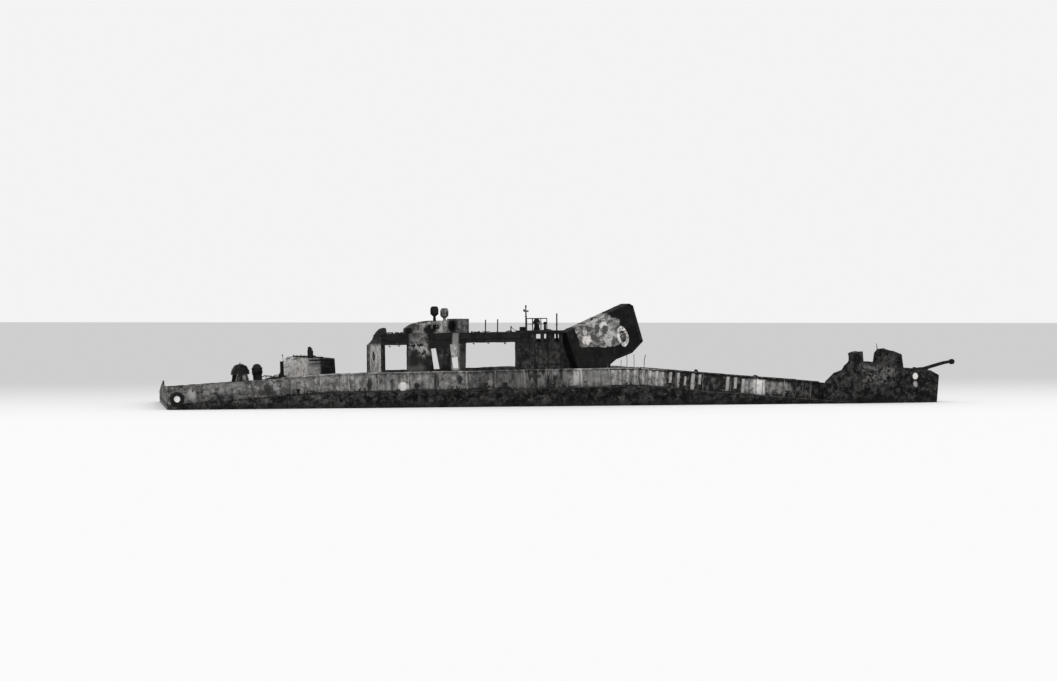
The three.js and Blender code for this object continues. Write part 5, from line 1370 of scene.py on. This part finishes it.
def make_casing():
    def fn(c):
        x, y, w = c
        if w > 1450 or x < -1850:
            return (0, 0, -14 * max(0.0, dish(x, y, 61.0, 520))) if abs(y - 800) > 620 or not -1250 < x < -250 else None
        if abs(y) > 2200 and w > 60:
            return (0, -math.copysign(20 * dish(x, w, 62.0, 500), y), 0)
        if x < -1040 and abs(y) < 2290 and 60 < w:
            return (14 * dish(y, w, 63.0, 500), 0, 0)
    plated("engine_casing", "casing", STERN, (160, 200, 140), fn)
    p = Piece("casing_fittings", M["dark"], STERN, seed=111)
    for s in (-1, 1):                              # louvres on both sides, rail and straps
        for x0 in (-170,):
            p.bar((x0 - 260, s * 2304, 560), (x0 - 260, s * 2304, 1130), 40, 22, up=(0, 1, 0))
            p.bar((x0 + 300, s * 2304, 560), (x0 + 300, s * 2304, 1130), 40, 22, up=(0, 1, 0))
            for k in range(7):
                w = 600 + k * 76
                p.mesh([(x0 - 245, s * 2300, w + 40), (x0 + 285, s * 2300, w + 40), (x0 + 285, s * 2336, w), (x0 - 245, s * 2336, w),
                        (x0 - 245, s * 2300, w + 50), (x0 + 285, s * 2300, w + 50), (x0 + 285, s * 2344, w + 4), (x0 - 245, s * 2344, w + 4)],
                       [(0, 1, 2, 3), (7, 6, 5, 4), (0, 4, 5, 1), (1, 5, 6, 2), (2, 6, 7, 3), (3, 7, 4, 0)])
        p.tube([(-900, s * 2304, 1330), (-900, s * 2345, 1340), (100, s * 2345, 1290), (100, s * 2304, 1280)], 15, 8)
        p.bar((-1000, s * 2306, 1490), (185, s * 2306, 1418), 20, 70)
    porthole(p, 192, -1200, 900, 1, 140, "x")
    porthole(p, 192, 1200, 900, 1, 140, "x")
    p.box(190, 214, -420, 420, 120, 1330)
    for w in (300, 700, 1100):
        p.bar((216, -380, w), (216, 380, w), 50, 14, up=(1, 0, 0))
    ladder(p, (-1848, -500, 10), (-1848, -500, 800), 380, (0, 1, 0))
    # exhaust: flange, clamp bands and rain flap
    p.lathe([(0, 1500), (132, 1530), (132, 1905), (104, 1935), (0, 1935)], (-857, -1900, 0), sides=20)
    for w, r in ((1512, 168), (1640, 146), (1860, 146)):
        p.ring((-857, -1900, w), (0, 0, 1), r - 36, r, 26, 20)
    p.ring((-900, -1900, 2080), (-0.27, 0, 0.96), 60, 66, 14, 20)
    # mushroom vents and grating on top
    for x, y in ((-300, -1300), (-1000, -700), (-100, 1700)):
        top = 1600 - (x + 1300) * 100 / 1490
        p.lathe([(0, -10), (150, -10), (150, 26), (120, 48), (0, 56)], (x, y, top), sides=20)
    for k in range(9):
        x = -900 + k * 70
        top = 1600 - (x + 1300) * 100 / 1490
        p.bar((x, -400, top + 14), (x, 120, top + 14), 14, 36)
    p.bar((-910, -400, 1600 + 26 * -1 + 8), (-330, -400, 1551), 20, 44)
    p.bar((-910, 120, 1600 + 26 * -1 + 8), (-330, 120, 1551), 20, 44)
    for w in (1100, 1400, 1700):
        x = -1655 - 45 * (w - 1040) / 730
        p.ring((x, 880, w), (0, 0, 1), 20, 40, 26, 12)
    p.done(bevel=3)
    h = Piece("engine_hatch_details", M["gear"], STERN, "engine_hatch", seed=112)
    top = lambda x: 1600 - (x + 1300) * 100 / 1490 + 50
    for x, y in ((-1090, 360), (-1090, 1240), (-410, 360), (-410, 1240), (-750, 1240), (-750, 360)):
        h.lathe([(0, 0), (30, 0), (30, 24), (16, 30), (14, 60), (0, 62)], (x, y, top(x)), sides=12)
    h.bar((-1060, 800, top(-1060) + 4), (-440, 800, top(-440) + 4), 60, 18)
    h.bar((-750, 400, top(-750) + 4), (-750, 1200, top(-750) + 4), 60, 18)
    h.tube([(-480, 660, top(-480)), (-480, 660, top(-480) + 60), (-480, 940, top(-480) + 60), (-480, 940, top(-480))], 14, 8)
    for y in (480, 1120):
        h.bar((-1150, y, top(-1150) + 2), (-900, y, top(-900) + 4), 70, 16)
    h.done(bevel=4)
    e = Piece("engine_details", M["gear"], STERN, seed=113)
    for s in (-1, 1):
        e.box(-1430, -220, s * 380 - 190, s * 380 + 190, 895, 1010)
        for k in range(6):
            x = -1340 + k * 200
            e.lathe([(0, 0), (55, 0), (55, 60), (30, 76), (0, 80)], (x, s * 380, 1008), sides=14)
            e.tube([(x, s * 560, 930), (x, s * 660, 900), (x, s * 720, 820)], 36, 10)
        e.tube([(-1460, s * 740, 800), (-200, s * 740, 800)], 62, 12)
        for k in range(8):
            e.lathe([(0, 0), (20, 0), (20, 14), (0, 16)], (-1420 + k * 170, s * 702, 300), (0, s, 0), 6)
    e.lathe([(0, 0), (330, 0), (330, 70), (120, 90), (0, 90)], (-1500, 0, 420), (-1, 0, 0), 26)
    e.tube([(-160, 0, 700), (-110, 0, 760), (-100, 0, 1100)], 70, 12)
    e.done(bevel=8)


def make_underwater():
    for side, y, body, rud in (("starboard", -2600, "screw_starboard", "rudder_body_starboard"), ("centre", 0, "screw_centre", "rudder_body_centre"), ("port", 2600, "screw_port", "rudder_body_port")):
        r = Piece("rudder_details_" + side, M["hull"], STERN, rud, seed=122)
        for w in (-1560, -1330, -1100, -880):
            r.prism([(-6045, y), (-6170, y + 49), (-6400, y + 38), (-6400, y - 38), (-6170, y - 49)], "z", w - 26, w + 26)
        r.ring((-6230, y, -760), (0, 0, 1), 38, 66, 40, 18)
        r.ring((-6230, y, -1692), (0, 0, -1), 10, 34, 14, 14)
        r.done(bevel=4)
        k = Piece("skeg_details_" + side, M["hull"], STERN, seed=123)
        k.ring((-5335, y, -1240), (1, 0, 0), 56, 112, 60, 24)
        k.ring((-3620, y, -1240), (1, 0, 0), 90, 116, 50, 24)
        k.ring((-4400, y, -1240), (1, 0, 0), 92, 112, 60, 24)
        k.use(M["anode"])
        for s in (-1, 1):
            k.prism([(-4900, -1010), (-4600, -1130), (-4580, -1070), (-4880, -950)], "y", y + s * 58, y + s * 96)
        k.done(bevel=6)
    p = Piece("hull_anodes", M["anode"], STERN, seed=124)
    for x in (-4200, -2600, -1200):
        for s in (-1, 1):
            p.prism([(x, -640), (x + 300, -660), (x + 290, -730), (x + 10, -710)], "y", s * 4890, s * 4935) if x > -3000 else None
    p.done(bevel=8)
    p = Piece("keel_coolers", M["hull"], MID, seed=125)
    for s in (-1, 1):
        for k in range(3):
            p.tube([(1500, s * 4893, -900 - k * 110), (1560, s * 4925, -900 - k * 110), (6200, s * 4925, -900 - k * 110), (6260, s * 4893, -900 - k * 110)], 26, 8)
    p.done()


def make_stern_ends():
    for s in ("starboard", "port"):
        y = -4500 if s == "starboard" else 4500
        p = Piece("bitt_details_" + s, M["gear"], STERN, seed=131)
        for dx in (-150, 150):
            p.ring((-5400 + dx, y, 34), (0, 0, 1), 72, 100, 24, 18)
            p.lathe([(0, 0), (96, 0), (88, 14), (0, 26)], (-5400 + dx, y, 398), sides=18)
            p.ring((-5400 + dx, y, 300), (0, 0, 1), 72, 88, 20, 18)
        p.bolts([(-5400 + a, y + b, 38) for a in (-225, -75, 75, 225) for b in (-100, 100)], 16, 16, (0, 0, 1))
        p.done(bevel=3)
    p = Piece("fairlead_rim", M["dark"], STERN, seed=132)
    x = -7480
    p.lathe([(196, -20), (198, 0), (236, 20), (285, 22), (312, 12), (318, -14), (300, -24)], (x, -4950, 272), (-0.05, -1, 0.0), 34)
    p.use(M["pale"])
    # a pale disc closing the pipe: painted reflection, standing for the wet deck lit by the sky beyond the hole
    p.lathe([(0, -34), (125, -34), (138, -20), (138, -60), (0, -64)], (x, -4950, 272), (-0.05, -1, 0.0), 30)
    p.done(bevel=0)
    p = Piece("stern_bulwark_stays", M["bulwark"], STERN, seed=133)
    for x in range(-7000, -2750, 620):
        for s in (-1, 1):
            h = 740 if s < 0 else 420
            p.mesh([(x, s * 4830, 4), (x, s * 4470, 4), (x, s * 4480, 40), (x, s * 4832, h), (x + 14, s * 4830, 4), (x + 14, s * 4470, 4), (x + 14, s * 4480, 40), (x + 14, s * 4832, h)],
                   [(0, 1, 2, 3), (7, 6, 5, 4), (0, 4, 5, 1), (1, 5, 6, 2), (2, 6, 7, 3), (3, 7, 4, 0)])
    x = -7150                                      # remains of the rolled top rail, starboard
    while x < -2700:
        n = min(-2690, x + p.rnd.uniform(500, 1300))
        p.tube([(x, -4868, 826 + p.rnd.uniform(-10, 4)), ((x + n) / 2, -4862, 812), (n - 90, -4868, 826)], 30, 8)
        x = n
    # freeing ports, framed
    for x in (-6100, -4700, -3500):
        for s in (-1, 1):
            p.box(x - 190, x + 190, min(s * 4880, s * 4902), max(s * 4880, s * 4902), 110, 270)
            frame_ring(p, (x, s * 4900, 190), 190, 80, (0, s, 0))
    p.done(bevel=3)


# ---------------------------------------------------------------- bow and ramp
def make_bow():
    p = Piece("bow_frames", M["hull_bow"], BOW, seed=141)
    for x in (9700, 10350, 11000, 11650, 12300, 12950):
        half = 4870 - max(0, x - 11500) * 0.0667
        h = {9700: 1250, 10350: 1950, 11000: 1800, 11650: 2450, 12300: 2450, 12950: 2200}[x]
        p.bar((x, -half + 75, 4), (x, -half + 72, h), 16, 130, up=(0, 1, 0))
        p.bar((x, half - 75, 4), (x, half - 72, {9700: 700, 10350: 520, 11000: 520, 11650: 620, 12300: 620, 12950: 300}[x]), 16, 130, up=(0, 1, 0))
    for w in (700, 1300):
        p.tube([(9900 if w < 1000 else 10300, -4790, w), (11500, -4790, w), (13100, -4690, w)], 24, 6)
    # a bent spike above the high plate, and torn lips along its top
    p.tube([(11690, -4815, 2560), (11640, -4815, 2780), (11615, -4815, 2905)], [26, 18, 9], 6)
    for x, w in ((10560, 2440), (10800, 2455), (12000, 2680), (12500, 2600), (12900, 2480)):
        p.prism([(x - 90, w - 120), (x + 120, w - 120), (x + 60, w - 10), (x + 10, w + p.rnd.uniform(5, 45)), (x - 60, w - 20)], "y", -4846, -4826)
    p.done(bevel=4)
    p = Piece("bow_fittings", M["dark"], BOW, seed=142)
    for s in (-1, 1):
        for x in (10800, 12000):
            p.lathe([(0, 0), (110, 0), (110, 12), (72, 26), (72, 270), (120, 285), (130, 318), (110, 350), (0, 366)], (x, s * 4420, -4), sides=18)
        p.box(9900, 10300, s * 4300 - 120, s * 4300 + 120, -4, 30)
        for k in (-120, 120):
            p.lathe([(0, 0), (80, 0), (80, 250), (105, 262), (105, 292), (0, 300)], (10100 + k, s * 4300, 26), sides=18)
    # winch sheaves and ring bolts inside the starboard wing
    for x in (13600, 14100):
        p.ring((x, -4050, 220), (0, 1, 0), 40, 130, 60, 24)
        p.box(x - 150, x + 150, -4090, -3960, 2, 110)
    p.done(bevel=5)
    a = Piece("hoist_arm_details", M["dark"], BOW, seed=143)
    line = [(14760, -3050, 1850), (15013, -3050, 1880), (15469, -3050, 2050), (16103, -3050, 2270), (16480, -3050, 2355)]
    for (x0, y0, w0), (x1, y1, w1), h in zip(line, line[1:], (70, 64, 54, 44)):   # web plates along the boom
        u = V(x1 - x0, 0, w1 - w0).normalized()
        n = V(-u.z, 0, u.x)
        for sgn in (-1, 1):
            m0, m1 = V(x0, y0, w0) + n * sgn * 56, V(x1, y1, w1) + n * sgn * 52
            a.bar(m0, m1, 26, h, up=n)
        a.ring(V(x1, y1, w1) - u * 22, u, 56, 82, 44, 16)
    a.ring((16520, -3124, 2350), (0, 1, 0), 26, 132, 24, 26)
    a.ring((16520, -3000, 2350), (0, 1, 0), 26, 132, 24, 26)
    a.lathe([(0, 0), (36, 0), (36, 170), (0, 170)], (16520, -3135, 2350), (0, 1, 0), 12)
    a.bar((14520, -3178, 1880), (15120, -3178, 1740), 60, 14, up=(0, 1, 0))
    a.bar((14520, -2922, 1880), (15120, -2922, 1740), 60, 14, up=(0, 1, 0))
    a.bolts([(14560 + k * 120, -3186, 1872 - k * 27) for k in range(5)], 18, 12)
    a.done(bevel=3)
    m = RAMP
    p = Piece("ramp_details", M["deck"], m, "ramp", seed=144)
    for x in range(220, 2200, 260):               # foot bars for the wheels
        for y0, y1 in ((-2250, -1250), (-1050, -80), (80, 1050), (1250, 2250)):
            p.bar((x, y0, 12), (x, y1, 12), 44, 26)
    p.use(M["dark"])
    for y in (-2330, 2330):
        p.bar((60, y, 30), (2200, y, 30), 30, 80)
    for y in range(-2100, 2200, 525):             # stiffeners below
        p.bar((120, y, -152 - 30), (2150, y, -152 - 30), 22, 76)
    for s in (-1, 1):
        p.ring((1900, s * 2290, 74), (0, 1, 0), 34, 66, 30, 16)
        p.box(1850, 1950, s * 2290 - 4, s * 2290 + 34, 4, 60)
    p.done(bevel=4)
    h = Piece("ramp_hinge_lugs", M["gear"], BOW, seed=145)
    for y in (-2100, -1300, -500, 500, 1300, 2100):
        h.prism([(15060, -330), (15180, -330), (15190, -230), (15060, -210)], "y", y - 40, y + 40)
    h.done(bevel=4)
    # the wing faces: steps up the side, seams and covers on the tops, straps on the ends
    p = Piece("wing_details", M["hull_bow"], BOW, seed=146)
    for s in (-1, 1):
        for w in (420, 760, 1100, 1440):
            if s < 0 or w < 700:
                p.tube([(13420, s * 4705, w), (13420, s * 4760, w), (13700, s * 4745, w), (13700, s * 4690, w)], 13, 6)
    def wing_top(x, s):
        pts = ((13310, 1825), (14620, 1830), (15190, 1590)) if s < 0 else ((13310, 900), (13900, 1380), (14620, 1500), (15190, 1420))
        for (a, b), (c, d) in zip(pts, pts[1:]):
            if x <= c:
                return b + (d - b) * (x - a) / (c - a)
        return pts[-1][1]
    for s in (-1, 1):
        for x in (13480, 13960, 14440, 14920):      # seams and a rolled edge over the tank tops, with a bolted cover
            w0, w1 = wing_top(x - 30, s), wing_top(x + 30, s)
            e = 4870 - (x - 11500) * 0.0667 - 60
            p.mesh([(x - 30, s * 2380, w0 - 8), (x + 30, s * 2380, w1 - 8), (x + 30, s * e, w1 - 8), (x - 30, s * e, w0 - 8),
                    (x - 30, s * 2380, w0 + 9), (x + 30, s * 2380, w1 + 9), (x + 30, s * e, w1 + 9), (x - 30, s * e, w0 + 9)],
                   [(0, 1, 2, 3), (7, 6, 5, 4), (0, 4, 5, 1), (1, 5, 6, 2), (2, 6, 7, 3), (3, 7, 4, 0)])
        for x0, x1 in ((13340, 13860), (13940, 14580), (14660, 15160)):
            for y in (2376, 4520):
                a, b = V(x0, s * y, wing_top(x0, s) + 8), V(x1, s * y, wing_top(x1, s) + 8)
                p.bar(a, b, 44, 34)
        x, y = 14200, s * 3500
        w = wing_top(x, s)
        p.lathe([(0, -20), (260, -20), (260, 14), (236, 22), (0, 22)], (x, y, w), (0, 0, 1), 28)
        p.bolts([(x + 215 * math.cos(k * 0.5236), y + 215 * math.sin(k * 0.5236), w + 20) for k in range(12)], 16, 14, (0, 0, 1))
        for y in (3650, 4050):                        # the posts of the bitts; the starboard ones are sheared off short
            h = 34 if s < 0 else 250
            p.lathe([(0, -20), (72, -20), (70, h - 34), (110, h - 20) if s > 0 else (70, h - 12), (108 if s > 0 else 52, h), (0, h + 8 if s > 0 else h - 16)],
                    (13700, s * y, wing_top(13700, s)), (0, 0, 1), 18)
        for w in (500, 900):                          # frames showing through the end plates
            p.bar((15197, s * 2450, w), (15197, s * 4480, w), 60, 12, up=(1, 0, 0))
    p.done(bevel=3)


# ---------------------------------------------------------------- the remaining machined and forged parts
def softened(node, key, bevel=5, body=HULL, m=STERN, fn=None, grid=(None, None, None), smooth_angle=40):
    """The node's own shape with eased edges."""
    p = Piece(node + "_part", M[key], m, body).take(node, *grid)
    if fn:
        p.move(fn)
    return p.done(bevel=bevel, segments=2, smooth=smooth_angle, replaces=(node,))


def make_parts():
    softened("stern_fairlead", "dark", 8)
    softened("winch_frame", "winch", 10, fn=lambda c: (6 * rough_noise(c.x, c.y, c.z, 200, 1.0), 0, 8 * rough_noise(c.x, c.y, c.z, 230, 2.0)) if c.z > 1060 else None)
    softened("winch_drum", "gear", 6, "winch_drum_body")
    softened("capstan_base", "gear", 8)
    softened("engine_hatch_lid", "deck", 5, "engine_hatch")
    softened("engine_block", "gear", 22)
    for side in ("starboard", "centre", "port"):
        softened("skeg_" + side, "hull", 10)
        softened("rudder_" + side, "hull", 6, "rudder_body_" + side)
    for side in ("starboard", "port"):
        softened("bitt_stern_" + side, "gear", 6)
    softened("pilothouse_door", "house", 5, "bridge_door", MID)
    softened("port_cabin_door", "house", 5, "cabin_door", MID)
    softened("steering_stand", "gear", 5, m=MID)
    softened("buckled_frames", "dark", 5, m=MID)
    softened("ramp_hinge", "gear", 8, m=BOW)
    softened("bow_ramp", "deck", 6, "ramp", RAMP)

    def jag(c):
        return (3 * rough_noise(c.x, c.y, c.z, 90, 5.0), 3 * rough_noise(c.x, c.y, c.z, 90, 6.0), 0)
    softened("bridge_rail", "dark", 0, m=MID, fn=jag)
    softened("binnacle", "dark", 4, m=MID)
    for i, (x, top) in enumerate(((4735, 3850), (5210, 3760))):
        p = Piece(f"roof_vent_{i + 1}_cowl", M["dark" if i == 0 else "vent"], MID, seed=150 + i)
        p.lathe([(0, 2672), (95, 2672), (88, 2720), (66, top - 520), (60, top - 470), (86, top - 452), (150, top - 404), (172, top - 372), (184, top - 300),
                 (190, top - 200), (188, top - 120), (172, top - 66), (140, top - 22), (110, top - 2), (0, top)], (x, -2850, 0), sides=30)
        p.done(smooth=50, replaces=(f"roof_vent_{i + 1}",))
    p = Piece("capstan_head_part", M["gear"], STERN, "capstan_body", seed=152)
    p.lathe([(0, 228), (256, 228), (262, 244), (236, 300), (196, 410), (176, 560), (170, 860), (186, 960), (232, 1050), (244, 1100), (244, 1196), (226, 1240),
             (160, 1362), (120, 1388), (62, 1418), (0, 1420)], (-3080, 0, 0), sides=36)
    p.done(smooth=50, replaces=("capstan_head",))
    a = Piece("ramp_hoist_arm_part", M["dark"], BOW).take("ramp_hoist_arm")
    a.done(bevel=4, replaces=("ramp_hoist_arm",))
    for side, y in (("starboard", -2600), ("centre", 0), ("port", 2600)):
        screw(side, y)


def screw(side, y):
    """Three broad, twisted blades on a tapered hub with its shaft."""
    X, W = -5560, -1240
    p = Piece("propeller_" + side + "_part", M["bronze"], STERN, "screw_" + side, seed=121)
    p.lathe([(0, -222), (30, -218), (60, -196), (78, -160), (84, -128), (88, 0), (86, 100), (80, 130), (47, 134), (45, 150), (45, 800), (0, 800)], (X, y, W), (1, 0, 0), 28)
    p.ring((X + 112, y, W), (1, 0, 0), 60, 94, 20, 24)
    for k in range(6):
        a = k * 1.0472
        p.lathe([(0, 0), (9, 0), (9, 12), (0, 13)], (X - 150, y + 66 * math.cos(a), W + 66 * math.sin(a)), (-1, 0, 0), 6)
    for deg in (0, 120, 240):
        T = Matrix.Translation((X, y, W)) @ Matrix.Rotation(math.radians(deg), 4, "X") @ Matrix.Rotation(0.55, 4, "Z")
        rows = [(70, 120, 24, 0.30), (110, 150, 23, 0.24), (170, 186, 21, 0.14), (230, 214, 19, 0.06), (290, 224, 17, 0.0), (340, 206, 15, -0.06), (380, 160, 13, -0.10), (405, 104, 11, -0.12), (420, 46, 8, -0.13)]
        vs, f, n = [], [], 16
        for h, wd, th, tw in rows:
            R = Matrix.Rotation(tw, 3, "Z")
            for k in range(n):
                c = k * 2 * math.pi / n
                vs.append(R @ V(th / 2 * math.cos(c), wd / 2 * math.sin(c) + 10 * math.sin(h / 420 * 3.0), 0) + V(0, 0, h))
        for i in range(len(rows) - 1):
            for k in range(n):
                f.append((i * n + k, i * n + (k + 1) % n, i * n + n + (k + 1) % n, i * n + n + k))
        f += [tuple(range(n))[::-1], tuple(range(len(vs) - n, len(vs)))]
        p.mesh(vs, f, T)
    p.done(smooth=45, replaces=("propeller_" + side,))


# ---------------------------------------------------------------- camera, light, floor
IMAGE_W, IMAGE_H = 1057, 681
FOCAL_PX, HORIZON = 2282.78, 313.2
HEADING, ROLL = 0.27574071, math.atan2(312.3 - 314.1, 940)


def make_camera():
    data = bpy.data.cameras.new("camera")
    data.sensor_width = 36.0
    data.lens = FOCAL_PX * 36.0 / IMAGE_W
    data.clip_start, data.clip_end = 1.0, 2000.0
    cam = bpy.data.objects.new("camera", data)
    bpy.context.scene.collection.objects.link(cam)
    down = math.atan((IMAGE_H / 2 - HORIZON) / FOCAL_PX)
    forward = Vector((math.sin(HEADING) * math.cos(down), math.cos(HEADING) * math.cos(down), -math.sin(down)))
    right = Vector((math.cos(HEADING), -math.sin(HEADING), 0))
    up = right.cross(forward)
    r2 = right * math.cos(ROLL) - up * math.sin(ROLL)
    u2 = right * math.sin(ROLL) + up * math.cos(ROLL)
    m = Matrix((r2, u2, -forward)).transposed().to_4x4()
    m.translation = Vector((OX - 19.98650633, -106.111357, WATER + 4.3033))
    cam.matrix_world = m
    bpy.context.scene.camera = cam


def stage_floor():
    me = bpy.data.meshes.new("floor")
    s = 900.0
    me.from_pydata([(-s, -s, WATER), (s, -s, WATER), (s, s, WATER), (-s, s, WATER)], [], [(0, 1, 2, 3)])
    o = bpy.data.objects.new("floor", me)
    bpy.context.scene.collection.objects.link(o)
    g = Graph("floor_pale")
    x, y, z = g.xyz(g.p)
    v = lerp(g.step(y, -18.0, 40.0), 0.93, 0.60)
    me.materials.append(g.finish(g.vec(v, v, v), 0.9, specular=0.0))


def make_lights():
    w = bpy.data.worlds.new("studio")
    bpy.context.scene.world = w
    w.use_nodes = True
    w.node_tree.nodes["Background"].inputs[0].default_value = (1, 1, 1, 1)
    w.node_tree.nodes["Background"].inputs[1].default_value = 0.90
    sun = bpy.data.lights.new("key", "SUN")
    sun.energy, sun.angle = 0.7, math.radians(25)
    o = bpy.data.objects.new("key", sun)
    o.rotation_euler = Vector((0.35, 0.75, -0.62)).to_track_quat("-Z", "Y").to_euler()
    bpy.context.scene.collection.objects.link(o)


dress_nodes()
make_hull()
make_coaming_ribs()
make_hull_fittings()
make_deck_fittings()
make_deckhouse()
make_bridge()
make_shield()
make_shelter()
make_port_cabin()
make_stern_gear()
make_casing()
make_underwater()
make_stern_ends()
make_bow()
make_parts()
make_camera()
stage_floor()
make_lights()
bpy.context.scene.view_settings.view_transform = "Standard"
